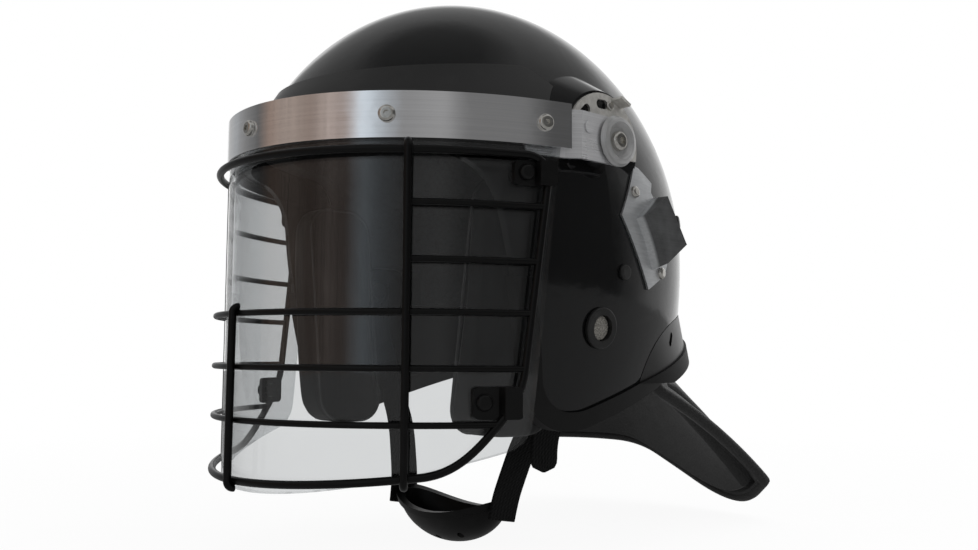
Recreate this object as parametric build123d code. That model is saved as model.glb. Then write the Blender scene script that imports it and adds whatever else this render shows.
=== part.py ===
from build123d import *
import os
from math import acos, cos, degrees, radians, sin, sqrt

# Riot helmet with a pivoting visor, wire guard, hanging chin strap and neck guard.
# Millimetres. +Z is up, the face looks along -Y and the wearer's left is +X.
# The origin is the middle of the head cavity at the widest level of the shell.

# Shell
shell_half_width = 115.0
shell_half_length = 147.5
crown_height = 154.0
skirt_depth = 205.0
shell_wall = 4.0
brow_level = 43.0
temple_y = -74.0
temple_radius = 30.0
jaw_front_y = -46.5
jaw_level = -96.0
jaw_radius = 32.0
jaw_back_y = -12.0
jaw_bend_radius = 40.0
nape_rise_share = 0.296

# Edge trim, a channel over the shell's lower edge
trim_width = 10.0
trim_wall = 1.4
trim_top_level = -18.0

# Brow panel, a skin laid on the shell
skin_thickness = 1.8
skin_gap = 0.2
panel_front_level = 85.0
panel_corner = (-38.0, 96.0)
panel_back = (-13.0, 76.0)
panel_foot = (-2.0, 59.0)
panel_corner_radius = 9.0

# Rear skirt, flared out from the shell's lower back
flare_top_level = -16.0
flare_top_inset = 4.0
flare_foot_level = -72.0
flare_foot_half_width = 104.5
flare_foot_half_length = 119.0
flare_foot_back_y = 158.5
flare_slot_place = (70.0, -47.0)
flare_slot_length = 9.0
flare_slot_width = 3.5
flare_slot_turn = 60.0

# Liner and comfort pads
liner_gap = 0.3
liner_thickness = 15.0
liner_level = -22.0
liner_brow_level = 56.0
liner_front_y = -30.0
liner_corner_radius = 24.0
liner_notch_place = (13.0, -22.0)
liner_notch_size = (46.0, 50.0)
liner_notch_radius = 12.0
pad_thickness = 9.0
pad_crown = 3.0
crown_pad_radius = 52.0
brow_pad_half_width = 56.0
brow_pad_low = 64.0
brow_pad_high = 94.0
nape_pad_half_width = 52.0
nape_pad_low = -16.0
nape_pad_high = 24.0

# Cheek pads
cheek_front_y = -67.0
cheek_back_y = -18.0
cheek_top_level = 38.0
cheek_foot_level = -98.0
cheek_inner_x = 68.0
cheek_depth = 48.0
cheek_lean = 8.0
cheek_corner_radius = 17.0
cheek_draw = 5.0
cheek_face_draw = 14.0

# Visor lens
visor_centre_y = 9.0
lens_half_width = 122.0
lens_depth = 157.5
lens_thickness = 3.0
lens_top_level = 68.0
lens_rear_top_y = -38.2
lens_rear_foot_y = -56.3
lens_chin_level = -125.5
lens_foot_share = 0.273
lens_corner_radius = 17.0

# Band over the lens, with its screws
band_wall = 1.0
band_gap = 0.3
band_foot_level = 47.0
band_height = 23.0
band_rear_y = -34.6
band_screw_angles = (-68.2, -37.0, 0.0, 37.0, 68.2)
screw_head_radius = 4.3
screw_head_height = 2.6
screw_shank_radius = 2.0
screw_socket = 3.0
screw_fit = 0.2
nut_radius = 3.9
nut_height = 2.6

# Seal inside the lens, below the band
seal_thickness = 1.5
seal_foot_level = 41.0
seal_height = 6.0
seal_fit = 0.05

# Pivots and their detent plates
pivot_y = -2.0
pivot_level = 55.5
pad_face_x = 109.5
pad_face_radius = 29.0
pad_root_x = 92.0
pad_root_radius = 40.0
detent_wall = 1.5
detent_radius = 27.5
detent_cut = -6.0
detent_circle = 21.5
detent_slot_length = 9.0
detent_slot_width = 5.0
detent_slot_angles = (133.0, 93.0)
detent_tab_angle = 66.5
detent_tab_width = 8.0
detent_tab_reach = 7.2
detent_rivet_circle = 22.0
detent_rivet_angles = (77.6, 20.0)
detent_rivet_radius = 2.6
detent_rivet_shank = 1.2
bushing_radius = 6.6
bushing_flange_radius = 9.5
running_gap = 0.08
eye_gap = 0.35
cap_radius = 13.6
cap_height = 4.4
cap_wall = 1.4
cap_dish_radius = 8.6
bolt_radius = 3.0
bolt_head_radius = 5.4
bolt_head_height = 3.2
bolt_socket = 4.0
bolt_fit = 0.1
pivot_nut_radius = 9.0
pivot_nut_height = 3.0

# Visor arms
arm_wall = 2.0
arm_face_x = 119.0
arm_height = 25.0
arm_front_y = -57.0
arm_joggle_y = -35.0
arm_joggle_length = 7.0
arm_eye_radius = 13.0
plunger_angle = 168.0
plunger_radius = 2.2
plunger_gap = 0.4

# Wire guard
guard_half_width = 125.0
guard_depth = 162.7
frame_radius = 2.0
rail_radius = 1.6
weld = 0.4
guard_top_level = 41.0
guard_top_y = -50.0
guard_top_bend = 12.0
guard_side_foot_y = -61.5
guard_side_foot_level = -63.0
guard_bend_y = -106.0
guard_chin_level = -119.8
guard_foot_share = 0.12
guard_knee_y = -77.0
guard_knee_level = -93.5
rail_levels = (-36.7, -63.5, -90.0)
side_rail_levels = (15.7, -11.6)
upright_x = 83.7

# Guard clips
clip_wall = 2.0
clip_boxes = ((-66.0, -47.0, 26.0, 38.5), (-84.0, -64.0, -87.5, -72.0))
clip_screw_places = ((-59.5, 32.5), (-78.5, -79.5))
clip_corner_radius = 2.5
clip_fit = 0.06
clip_hump_length = 12.0

# Mask bracket
bracket_places = (
    (25.6, 47.9), (30.0, 47.1), (43.3, 40.4), (40.5, 34.7), (43.2, 31.4), (58.4, 4.8), (60.6, 2.3),
    (52.9, -11.0), (32.8, -20.6), (7.4, 18.2),
)
bracket_wall = 1.3
bracket_gap = 0.2
pocket_turn = 34.0
pocket_middle = (38.5, 10.6)
pocket_length = 31.0
pocket_depth = 29.4
pocket_bevel = 8.3
pocket_face_x = 119.5
pocket_wall = 1.5
bracket_screw_places = ((20.9, 31.9), (46.4, -10.5))
bracket_screw_radius = 3.3
bracket_screw_height = 2.2

# Ear vents and shell rivets
vent_y = -7.0
vent_level = -42.5
vent_radius = 11.0
vent_sleeve_radius = 8.6
vent_bore = 6.8
vent_proud = 2.2
vent_foam_thickness = 2.6
vent_fit = 0.2
rivet_places = ((88.0, 24.0),)
rivet_radius = 4.3
rivet_height = 2.2
rivet_shank = 2.2
rivet_tail_radius = 4.2
rivet_tail = 1.2
rivet_seat = 0.15

# Chin strap and cup
anchor_y = 10.0
anchor_level = -12.4
anchor_gap = 1.3
anchor_washer = 1.0
anchor_washer_radius = 5.5
strap_width = 20.0
strap_thickness = 1.8
strap_top_level = -5.0
strap_knee_level = -22.0
strap_knee_radius = 20.0
strap_foot_x = 46.2
strap_foot_level = -136.0
strap_end_level = -149.0
cup_half_width = 43.2
cup_half_length = 22.0
cup_depth = 28.0
cup_level = -138.0
cup_dip = 9.0
cup_y = -11.0
cup_wall = 3.5
cup_lip = 1.6
cup_lip_height = 3.6
cup_hole_radius = 2.0
cup_hole_share = 0.45
strap_gap = 0.3
buckle_share = 0.45
buckle_length = 9.0
buckle_wall = 2.0
buckle_rim = 3.0
tail_rise = 7.0
tail_run = 8.0
tail_drop = 20.0
tail_sway = 3.0
tail_bend_radius = 6.0
tail_corner_radius = 7.0

# Neck guard
neck_half_width = 92.0
neck_gap = 1.4
neck_wall = 5.0
neck_pad = 9.0
neck_rise = 22.0
neck_bend_drop = 6.0
neck_corner_y = 166.0
neck_corner_level = -131.0
neck_hem_y = 200.0
neck_hem_level = -114.0
neck_crown = 5.0
neck_lean = 45.0
neck_corner_radius = 24.0
neck_seam = 13.0
snap_places = (-52.0, 0.0, 52.0)
snap_radius = 5.0
snap_height = 1.6
snap_shank = 1.8
snap_depth = 2.8

# Steps of a search for a place on a curve
search_steps = 40

# Shares of the pieces they shape
dome_share = 0.7
cheek_station_shares = (0.0, 0.45, 0.82, 1.0)
quarter_share = sqrt(0.5)
neck_station_shares = (-1.0, -0.72, -0.38, 0.0, 0.38, 0.72, 1.0)

# Overrun of every cut, and how far the side outlines reach
overrun = 2.0
reach = 260.0


def egg(grow=0.0):
    """The shell's outer face as a solid, grown outwards by grow."""
    size = shell_half_width + grow, shell_half_length + grow
    upper = scale(Sphere(1, arc_size1=0, align=None), by=(*size, crown_height + grow))
    lower = scale(Sphere(1, arc_size2=0, align=None), by=(*size, skirt_depth + grow))
    return upper + lower


def egg_radii(z, grow=0.0):
    height = crown_height if z >= 0 else skirt_depth
    return shell_half_width + grow, shell_half_length + grow, height + grow


def shell_x(y, z, grow=0.0):
    """X of the shell's grown outer face at a place seen from the side."""
    across, along, up = egg_radii(z, grow)
    return across * sqrt(1 - (y / along) ** 2 - (z / up) ** 2)


def shell_y(x, z, grow=0.0):
    """Y of the shell's grown outer face at a place seen from behind."""
    across, along, up = egg_radii(z, grow)
    return along * sqrt(1 - (x / across) ** 2 - (z / up) ** 2)


def shell_place(x, y, z, grow=0.0):
    """Plane on the grown shell at a point of it, facing outwards."""
    across, along, up = egg_radii(z, grow)
    normal = Vector(x / across**2, y / along**2, z / up**2).normalized()
    level = Vector(0, 0, 1).cross(normal)
    return Plane(origin=(x, y, z), x_dir=level, z_dir=normal)


def side_place(y, z, sign=1, grow=0.0):
    return shell_place(sign * shell_x(y, z, grow), y, z, grow)


def side_prism(outline):
    """A side view outline in Y and Z, carried right across the helmet."""
    return extrude(Plane.YZ * outline, amount=reach, both=True)


def closed(*points):
    return make_face(Polyline(*points, close=True))


def rounded(face, corner, radius):
    """Rounds the corner of a flat outline that lies nearest a point."""
    vertex = face.vertices().sort_by_distance(Vector(*corner))[0]
    return fillet(vertex, radius)


def mirrored(part):
    return mirror(part, about=Plane.YZ)


def group(*parts):
    """Separate solids kept together in one node."""
    return Compound(children=[solid for part in parts for solid in part.solids()])


def domed_screw(head_radius, head_height, shank_radius, shank_length, socket=0.0):
    """A dome headed screw along +Z whose head stands on the plane Z = 0."""
    head = Pos(0, 0, head_height / 2) * Cylinder(head_radius, head_height)
    dome = min(head_height, head_radius) * dome_share
    head = fillet(head.edges().group_by(Axis.Z)[-1], dome)
    if socket:
        well = Pos(0, 0, head_height / 2) * RegularPolygon(socket, 6)
        head -= extrude(well, amount=head_height)
    return head + Pos(0, 0, -shank_length / 2) * Cylinder(shank_radius, shank_length)


def jaw_edge(y):
    """Level of the shell's lower edge, which rises towards the nape."""
    return jaw_level + nape_rise_share * (y - jaw_back_y)


def shell_outline(shrink=0.0):
    """Side view of what the shell keeps, drawn in by shrink."""
    corners = (temple_y, brow_level), (jaw_front_y, jaw_level), (jaw_back_y, jaw_level)
    face = closed(
        (-reach, brow_level), *corners, (reach, jaw_edge(reach)), (reach, reach), (-reach, reach)
    )
    for corner, radius in zip(corners, (temple_radius, jaw_radius, jaw_bend_radius)):
        face = rounded(face, corner, radius)
    return offset(face, -shrink) if shrink else face


def pivot_place(x, sign=1):
    """Plane across a pivot at a distance X, facing outwards, turned from +Y towards +Z."""
    return Plane(origin=(sign * x, pivot_y, pivot_level), x_dir=(0, sign, 0), z_dir=(sign, 0, 0))


def around(radius, angle):
    turn = radians(angle)
    return Pos(radius * cos(turn), radius * sin(turn))


def pivot_cone(grow=0.0):
    """The left pivot's conical pad, grown outwards by grow."""
    depth = pad_face_x - pad_root_x
    cone = Cone(pad_root_radius + grow, pad_face_radius + grow, depth)
    return pivot_place(pad_face_x - depth / 2) * cone


def shell_holes():
    """Cutters for every hole on the shell's left side."""
    through = 4 * shell_wall
    face = pivot_place(pad_face_x)
    holes = [
        face * Cylinder(bolt_radius + bolt_fit, 2 * (pad_face_x - pad_root_x)),
        side_place(vent_y, vent_level) * Cylinder(vent_sleeve_radius + vent_fit, through),
        strap_anchor() * Cylinder(rivet_shank + screw_fit, through),
    ]
    for angle in detent_rivet_angles:
        hole = Cylinder(detent_rivet_shank + bolt_fit, 2 * (detent_wall + shell_wall))
        holes.append(face * around(detent_rivet_circle, angle) * hole)
    for y, z in rivet_places:
        holes.append(side_place(y, z) * Cylinder(rivet_shank + screw_fit, through))
    for y, z in bracket_screw_places:
        holes.append(side_place(y, z) * Cylinder(screw_shank_radius + screw_fit, through))
    return holes


def make_shell():
    shell = (egg() - egg(-shell_wall)) & side_prism(shell_outline(trim_wall))
    boss = pivot_cone() - egg(-shell_wall)
    shell = shell + boss + mirrored(boss)
    for hole in shell_holes():
        shell = shell - hole - mirrored(hole)
    for place, gap in snap_planes():
        shell -= place * Cylinder(snap_shank + screw_fit, 2 * (gap + snap_depth + screw_fit))
    return shell


def make_brow_panel():
    foot = brow_level + skin_gap
    outline = closed(
        (-reach, foot),
        (temple_y + temple_radius, foot),
        panel_foot,
        panel_back,
        panel_corner,
        (-shell_half_length, panel_front_level),
        (-reach, panel_front_level),
    )
    outline = rounded(outline, panel_corner, panel_corner_radius)
    skin = (egg(skin_gap + skin_thickness) - egg(skin_gap)) & side_prism(outline)
    skin &= side_prism(shell_outline(trim_wall))
    return skin - pivot_cone(skin_gap) - mirrored(pivot_cone(skin_gap))


def flare(grow=0.0):
    """The flared body behind the shell, grown outwards by grow."""
    inset = grow - flare_top_inset
    top_radii = shell_half_width + inset, shell_half_length + inset
    foot_radii = flare_foot_half_width + grow, flare_foot_half_length + grow
    foot_y = flare_foot_back_y - flare_foot_half_length
    return loft(
        [Pos(0, 0, flare_top_level) * Ellipse(*top_radii),
         Pos(0, foot_y, flare_foot_level) * Ellipse(*foot_radii)],
        ruled=True,
    )


def make_rear_skirt():
    skirt = (flare() - egg(skin_gap)) & side_prism(shell_outline(trim_wall))
    skirt &= Pos(0, reach, 0) * Box(2 * reach, 2 * reach, 2 * reach)
    slot = extrude(SlotOverall(flare_slot_length, flare_slot_width), amount=flare_slot_length)
    y, z = flare_slot_place
    place = Plane(origin=(shell_x(y, z), y, z), x_dir=(0, 1, 0), z_dir=(1, 0, 0))
    slot = place * Rot(0, 0, flare_slot_turn) * slot
    skirt = skirt - slot - mirrored(slot)
    return max(skirt.solids(), key=lambda solid: solid.volume)


def make_edge_trim():
    ring = side_prism(shell_outline() - shell_outline(trim_width))
    low = trim_top_level - reach
    ring &= Pos(0, 0, low) * Box(2 * reach, 2 * reach, 2 * reach)
    outer = egg(trim_wall) + flare(trim_wall)
    channel = (outer - egg(-shell_wall - trim_wall)) & ring
    groove = (egg(skin_gap) + flare()) - egg(-shell_wall)
    return channel - (groove & side_prism(shell_outline(trim_wall)))


def liner_outline():
    """Side view of the liner, with a notch for each strap in its lower edge."""
    outline = closed(
        (-reach, liner_brow_level),
        (liner_front_y, liner_brow_level),
        (liner_front_y, liner_level),
        (reach, liner_level),
        (reach, reach),
        (-reach, reach),
    )
    for corner in ((liner_front_y, liner_brow_level), (liner_front_y, liner_level)):
        outline = rounded(outline, corner, liner_corner_radius)
    return outline - Pos(*liner_notch_place) * RectangleRounded(*liner_notch_size, liner_notch_radius)


def make_liner():
    outer = -shell_wall - liner_gap
    liner = (egg(outer) - egg(outer - liner_thickness)) & side_prism(liner_outline())
    for well in liner_wells():
        liner = liner - well - mirrored(well)
    return liner


def liner_wells():
    """Cutters that clear the liner of every nut and rivet tail on the left side."""
    face = pivot_place(pad_face_x)
    depth = pad_face_x - pivot_nut_x() + pivot_nut_height + liner_gap
    wells = [face * Cylinder(pivot_nut_radius + liner_gap, 2 * depth)]
    for angle in detent_rivet_angles:
        hole = Cylinder(detent_rivet_radius + liner_gap, 4 * shell_wall)
        wells.append(face * around(detent_rivet_circle, angle) * hole)
    for y, z in rivet_places:
        depth = shell_wall + 2 * rivet_seat + rivet_tail + liner_gap
        wells.append(side_place(y, z) * Cylinder(rivet_tail_radius + liner_gap, 2 * depth))
    for y, z in bracket_screw_places:
        depth = shell_wall + nut_height + overrun
        wells.append(side_place(y, z) * Cylinder(nut_radius + liner_gap, 2 * depth))
    return wells


def pad_layer(thickness):
    """A layer inside the liner, for the comfort pads."""
    outer = -shell_wall - liner_gap - liner_thickness - liner_gap
    return egg(outer) - egg(outer - thickness)


def make_crown_pad():
    """Round crown cushion, thick in the middle and drawn in at its rim."""
    thin, radius = pad_thickness - pad_crown, crown_pad_radius
    middle = pad_layer(pad_thickness) & extrude(Circle(radius - pad_crown), amount=reach)
    return middle + (pad_layer(thin) & extrude(Circle(radius), amount=reach))


def make_band_pad(half_width, low, high, facing):
    """Cushion across the brow or nape, thick in the middle and drawn in at its edges."""
    height = high - low
    level = (high + low) / 2
    wall = Plane(origin=(0, 0, level), x_dir=(1, 0, 0), z_dir=(0, facing, 0))

    def block(inset):
        size = 2 * (half_width - inset), height - 2 * inset
        return extrude(wall * RectangleRounded(*size, height / 2 - pad_crown - inset), amount=reach)

    thin = pad_layer(pad_thickness - pad_crown) & block(0)
    return thin + (pad_layer(pad_thickness) & block(pad_crown))


def make_cheek_pad():
    """Left cheek cushion, from the temple to the jaw: leaning outwards, with drawn-in sides."""
    lean = radians(cheek_lean)
    middle = (cheek_front_y + cheek_back_y) / 2, (cheek_top_level + cheek_foot_level) / 2
    length = cheek_back_y - cheek_front_y
    height = cheek_top_level - cheek_foot_level
    face = Plane(
        origin=(cheek_inner_x, *middle), x_dir=(0, 1, 0), z_dir=(-cos(lean), 0, sin(lean))
    )
    stations = []
    for share, draw in zip(cheek_station_shares, (cheek_draw, 0, cheek_draw / 2, cheek_face_draw)):
        outline = RectangleRounded(length - draw, height - draw, cheek_corner_radius)
        stations.append(face.offset((share - 1) * cheek_depth) * outline)
    pad = loft(stations) & egg(-shell_wall - trim_wall - liner_gap)
    outer = -shell_wall - liner_gap
    layer = egg(outer) - egg(outer - liner_thickness - liner_gap)
    return pad - (layer & side_prism(offset(liner_outline(), liner_gap)))


def plan_point(half_width, depth, angle, level=0.0):
    """A point of the visor's plan curve, at an angle from straight ahead."""
    turn = radians(angle)
    return Vector(half_width * sin(turn), visor_centre_y - depth * cos(turn), level)


def plan_angle(depth, y):
    """Angle from straight ahead at which the plan curve reaches a place along Y."""
    return degrees(acos((visor_centre_y - y) / depth))


def plan_arc(half_width, depth, stop, level=0.0):
    """The visor's plan curve from its right rear round the front to its left rear."""
    return EllipticalCenterArc(
        (0, visor_centre_y, level), half_width, depth, start_angle=-90 - stop, arc_size=2 * stop
    )


def plan_sheet(grow, wall, rear_y, foot, height):
    """An upright sheet on the visor's plan curve, its outer face grown from the lens."""
    stop = plan_angle(lens_depth, rear_y)
    outer = plan_arc(lens_half_width + grow, lens_depth + grow, stop)
    inner = plan_arc(lens_half_width + grow - wall, lens_depth + grow - wall, stop)
    ends = [Line(outer @ share, inner @ share) for share in (0, 1)]
    return extrude(Pos(0, 0, foot) * make_face([outer, inner, *ends]), amount=height)


def plan_place(grow, angle, level):
    """Plane on the visor's plan curve, facing outwards."""
    half_width, depth = lens_half_width + grow, lens_depth + grow
    turn = radians(angle)
    normal = Vector(sin(turn) / half_width, -cos(turn) / depth, 0).normalized()
    origin = plan_point(half_width, depth, angle, level)
    return Plane(origin=origin, x_dir=Vector(0, 0, 1).cross(normal), z_dir=normal)


def lens_foot(y):
    """Level of the lens's lower edge, which rises towards the rear."""
    return lens_chin_level + lens_foot_share * (y - visor_centre_y + lens_depth)


def band_places():
    level = band_foot_level + band_height / 2
    return [plan_place(band_gap + band_wall, angle, level) for angle in band_screw_angles]


def clip_places():
    places = []
    for y, z in clip_screw_places:
        angle = plan_angle(lens_depth, y)
        places += [plan_place(0.0, sign * angle, z) for sign in (-1, 1)]
    return places


def make_lens():
    outline = closed(
        (-reach, lens_top_level),
        (lens_rear_top_y, lens_top_level),
        (lens_rear_foot_y, lens_foot(lens_rear_foot_y)),
        (-reach, lens_foot(-reach)),
    )
    outline = rounded(outline, (lens_rear_foot_y, lens_foot(lens_rear_foot_y)), lens_corner_radius)
    foot = lens_chin_level - overrun
    lens = plan_sheet(0.0, lens_thickness, lens_rear_top_y + overrun, foot, lens_top_level - foot)
    lens &= side_prism(outline)
    for place in band_places() + clip_places():
        lens -= place * Cylinder(screw_shank_radius + screw_fit, 4 * lens_thickness)
    return lens


def make_band():
    grow = band_gap + band_wall
    band = plan_sheet(grow, band_wall, band_rear_y, band_foot_level, band_height)
    for place in band_places():
        band -= place * Cylinder(screw_shank_radius + screw_fit, 4 * band_wall)
    return band


def make_seal():
    grow = -lens_thickness - seal_fit
    return plan_sheet(grow, seal_thickness, arm_front_y - overrun, seal_foot_level, seal_height)


def band_stack(angle):
    """Thickness under a band screw's head: the arms are under the rearmost ones."""
    stack = band_wall + band_gap + lens_thickness
    return stack + seal_fit + arm_wall if abs(angle) == max(band_screw_angles) else stack


def make_band_bolts():
    bolts = []
    for place, angle in zip(band_places(), band_screw_angles):
        length = band_stack(angle) + screw_fit + nut_height
        head = screw_head_radius, screw_head_height
        bolts.append(place * domed_screw(*head, screw_shank_radius, length, screw_socket / 2))
    return group(*bolts)


def hex_nut(radius, height, bore):
    nut = extrude(RegularPolygon(radius, 6), amount=height)
    return nut - Cylinder(bore, 4 * height)


def make_band_nuts():
    nuts = []
    for place, angle in zip(band_places(), band_screw_angles):
        depth = band_stack(angle) + screw_fit + nut_height
        nut = hex_nut(nut_radius, nut_height, screw_shank_radius + bolt_fit / 2)
        nuts.append(place * Pos(0, 0, -depth) * nut)
    return group(*nuts)


def make_arm():
    """Left visor arm: under the lens in front, joggled out to its pivot eye."""
    under = -lens_thickness - seal_fit
    depth = lens_depth + under

    def under_x(y):
        return plan_point(lens_half_width + under, depth, plan_angle(depth, y)).X

    front, middle, rear = arm_front_y, (arm_front_y + arm_joggle_y) / 2, arm_joggle_y
    landing = rear + arm_joggle_length
    back = pivot_y + arm_eye_radius
    outside = [(under_x(front), front), (under_x(middle), middle), (under_x(rear), rear)]
    inside = [(x - arm_wall, y) for x, y in outside]
    slope = arm_wall / 2
    face = closed(
        *outside, (arm_face_x, landing), (arm_face_x, back), (arm_face_x - arm_wall, back),
        (arm_face_x - arm_wall, landing + slope), (inside[2][0], rear + slope), *inside[1::-1],
    )
    foot = pivot_level - arm_height / 2
    arm = extrude(Pos(0, 0, foot) * face, amount=arm_height)
    eye = Pos(pivot_y, pivot_level) * Circle(arm_eye_radius)
    bar = Pos((pivot_y - reach) / 2, pivot_level) * Rectangle(reach + pivot_y, arm_height)
    arm &= extrude(Plane.YZ * (eye + bar), amount=reach)
    arm -= pivot_place(arm_face_x) * Cylinder(bushing_radius + running_gap, 4 * arm_wall)
    arm -= band_places()[-1] * Cylinder(screw_shank_radius + screw_fit, 8 * lens_thickness)
    plunger = plunger_place() * Cylinder(plunger_radius + running_gap, 4 * arm_wall)
    return arm - plunger


def plunger_place():
    return pivot_place(arm_face_x - arm_wall) * around(detent_circle, plunger_angle)


def make_plungers():
    """Spring plungers in the arms, which drop into the detent slots."""
    tip = arm_face_x - arm_wall - pad_face_x - detent_wall - plunger_gap
    body = Pos(0, 0, (arm_wall - tip) / 2) * Cylinder(plunger_radius, arm_wall + tip)
    body = fillet(body.edges().group_by(Axis.Z)[0], plunger_radius / 2)
    head = Pos(0, 0, arm_wall + plunger_radius / 4) * Cylinder(
        plunger_radius + arm_wall / 2, plunger_radius / 2
    )
    left = plunger_place() * (body + head)
    return group(left, mirrored(left))


def make_detent_plate():
    """Left detent plate: half-round, with two catch slots and a turned-out stop tab."""
    plate = Circle(detent_radius)
    plate -= Pos(0, detent_cut - detent_radius) * Rectangle(2 * detent_radius, 2 * detent_radius)
    for angle in detent_slot_angles:
        slot = Rot(0, 0, angle + 90) * SlotOverall(detent_slot_length, detent_slot_width)
        plate -= around(detent_circle, angle) * slot
    for angle in detent_rivet_angles:
        plate -= around(detent_rivet_circle, angle) * Circle(detent_rivet_shank + bolt_fit)
    plate -= Circle(bolt_radius + bolt_fit)
    tab = around(detent_radius - detent_wall, detent_tab_angle) * Rot(0, 0, detent_tab_angle)
    tab *= Rectangle(detent_wall, detent_tab_width)
    place = pivot_place(pad_face_x)
    return extrude(place * plate, amount=detent_wall) + extrude(
        place * tab, amount=detent_wall + detent_tab_reach
    )


def make_detent_rivets():
    rivets = []
    place = pivot_place(pad_face_x + detent_wall)
    for angle in detent_rivet_angles:
        rivet = domed_screw(
            detent_rivet_radius, detent_wall, detent_rivet_shank, detent_wall + shell_wall
        )
        rivets.append(place * around(detent_rivet_circle, angle) * rivet)
    return group(*rivets, *[mirrored(rivet) for rivet in rivets])


def pivot_faces():
    """X of a pivot's seat on the plate, of its shoulder below the eye and of the cap's seat."""
    seat = pad_face_x + detent_wall
    return seat, arm_face_x - arm_wall - eye_gap, arm_face_x + eye_gap


def pivot_nut_x():
    """X of a pivot nut's outer face, just clear of the curved inner wall."""
    return shell_x(pivot_y, pivot_level + pivot_nut_radius, -shell_wall) - liner_gap


def make_bushings():
    seat, shoulder, cap_seat = pivot_faces()
    bushing = extrude(Circle(bushing_radius), amount=cap_seat - seat)
    bushing += extrude(Circle(bushing_flange_radius), amount=shoulder - seat)
    bushing -= Cylinder(bolt_radius + bolt_fit, 4 * (cap_seat - seat))
    left = pivot_place(seat) * bushing
    return group(left, mirrored(left))


def make_caps():
    """Dished caps over the arms' eyes, clamped on the bushings by the bolts."""
    bore = bolt_radius + bolt_fit
    profile = Polyline(
        (bore, 0, 0),
        (cap_radius - cap_wall, 0, 0),
        (cap_radius, 0, cap_wall),
        (cap_radius - cap_wall, 0, cap_height - cap_wall / 2),
        (cap_dish_radius + cap_wall, 0, cap_height),
        (cap_dish_radius, 0, cap_height - cap_wall),
        (cap_dish_radius - cap_wall, 0, cap_wall),
        (bore, 0, cap_wall),
        close=True,
    )
    left = pivot_place(pivot_faces()[2]) * revolve(make_face(profile), Axis.Z)
    return group(left, mirrored(left))


def make_pivot_bolts():
    top = pivot_faces()[2] + cap_wall
    length = top - pivot_nut_x() + pivot_nut_height
    head = bolt_head_radius, bolt_head_height
    left = pivot_place(top) * domed_screw(*head, bolt_radius, length, bolt_socket / 2)
    return group(left, mirrored(left))


def make_pivot_nuts():
    nut = hex_nut(pivot_nut_radius, pivot_nut_height, bolt_radius + bolt_fit / 2)
    left = pivot_place(pivot_nut_x() - pivot_nut_height) * nut
    return group(left, mirrored(left))


def guard_foot(y):
    """Level of the guard's bottom run, which rises towards the rear."""
    return guard_chin_level + guard_foot_share * (y - visor_centre_y + guard_depth)


def guard_side_point(y, level):
    return plan_point(guard_half_width, guard_depth, plan_angle(guard_depth, y), level)


def guard_side_edges(bottom, top):
    """The left side of the guard's outer wire: its lower bend, side run and upper bend."""
    side_foot = guard_side_point(guard_side_foot_y, guard_side_foot_level)
    side_head = guard_side_point(guard_top_y, guard_top_level - guard_top_bend)
    side = Line(side_foot, side_head)
    knee = guard_side_point(guard_knee_y, guard_knee_level)
    lower = Spline(bottom @ 1, knee, side_foot, tangents=[bottom % 1, side % 0])
    upper = Spline(side_head, top @ 1, tangents=[side % 1, -1 * (top % 1)])
    return lower, side, upper


def guard_runs():
    """The guard's bottom and top runs, each from the right to the left."""
    stop = plan_angle(guard_depth, guard_bend_y)
    tilt = degrees(atan_share(guard_foot_share))
    middle = Plane(
        origin=(0, visor_centre_y, guard_foot(visor_centre_y)),
        x_dir=(1, 0, 0),
        z_dir=(0, -guard_foot_share, 1),
    )
    depth = guard_depth / cos(radians(tilt))
    bottom = middle * EllipticalCenterArc(
        (0, 0), guard_half_width, depth, start_angle=-90 - stop, arc_size=2 * stop
    )
    top_stop = plan_angle(guard_depth, guard_top_y - guard_top_bend)
    return bottom, plan_arc(guard_half_width, guard_depth, top_stop, guard_top_level)


def atan_share(share):
    return acos(1 / sqrt(1 + share**2))


def wire(path, radius):
    """A round wire along one path."""
    return sweep(Plane(origin=path @ 0, z_dir=path % 0) * Circle(radius), path=path)


def make_guard_frame(radius=frame_radius):
    """The guard's closed outer wire, bent round the visor and down its sides."""
    bottom, top = guard_runs()
    left = guard_side_edges(bottom, top)
    right = [mirrored(edge).edges()[0] for edge in left]
    path = Wire([bottom.edges()[0], top, *left, *right])
    start = Plane(origin=bottom @ 0.5, z_dir=bottom % 0.5)
    return sweep(start * Circle(radius), path=path)


def side_wire_y(level):
    """Y at which the guard's side wire passes a level."""
    lower, side, upper = guard_side_edges(*guard_runs())
    edge = side if level > guard_side_foot_level else lower
    low, high = 0.0, 1.0
    for _ in range(search_steps):
        middle = (low + high) / 2
        if (edge @ middle).Z < level:
            low = middle
        else:
            high = middle
    return (edge @ low).Y


def rail_path(level):
    stop = plan_angle(guard_depth, side_wire_y(level))
    return plan_arc(guard_half_width, guard_depth, stop, level)


def make_rail(level):
    return wire(rail_path(level), rail_radius)


def make_side_rails():
    """The short left rails between the long upright and the side wire."""
    rails = []
    start = degrees(asin_share(upright_x / guard_half_width))
    for level in side_rail_levels:
        stop = plan_angle(guard_depth, side_wire_y(level))
        path = EllipticalCenterArc(
            (0, visor_centre_y, level),
            guard_half_width,
            guard_depth,
            start_angle=start - 90,
            arc_size=stop - start,
        )
        rails.append(wire(path, rail_radius))
    return group(*rails)


def asin_share(share):
    return radians(90) - acos(share)


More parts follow.
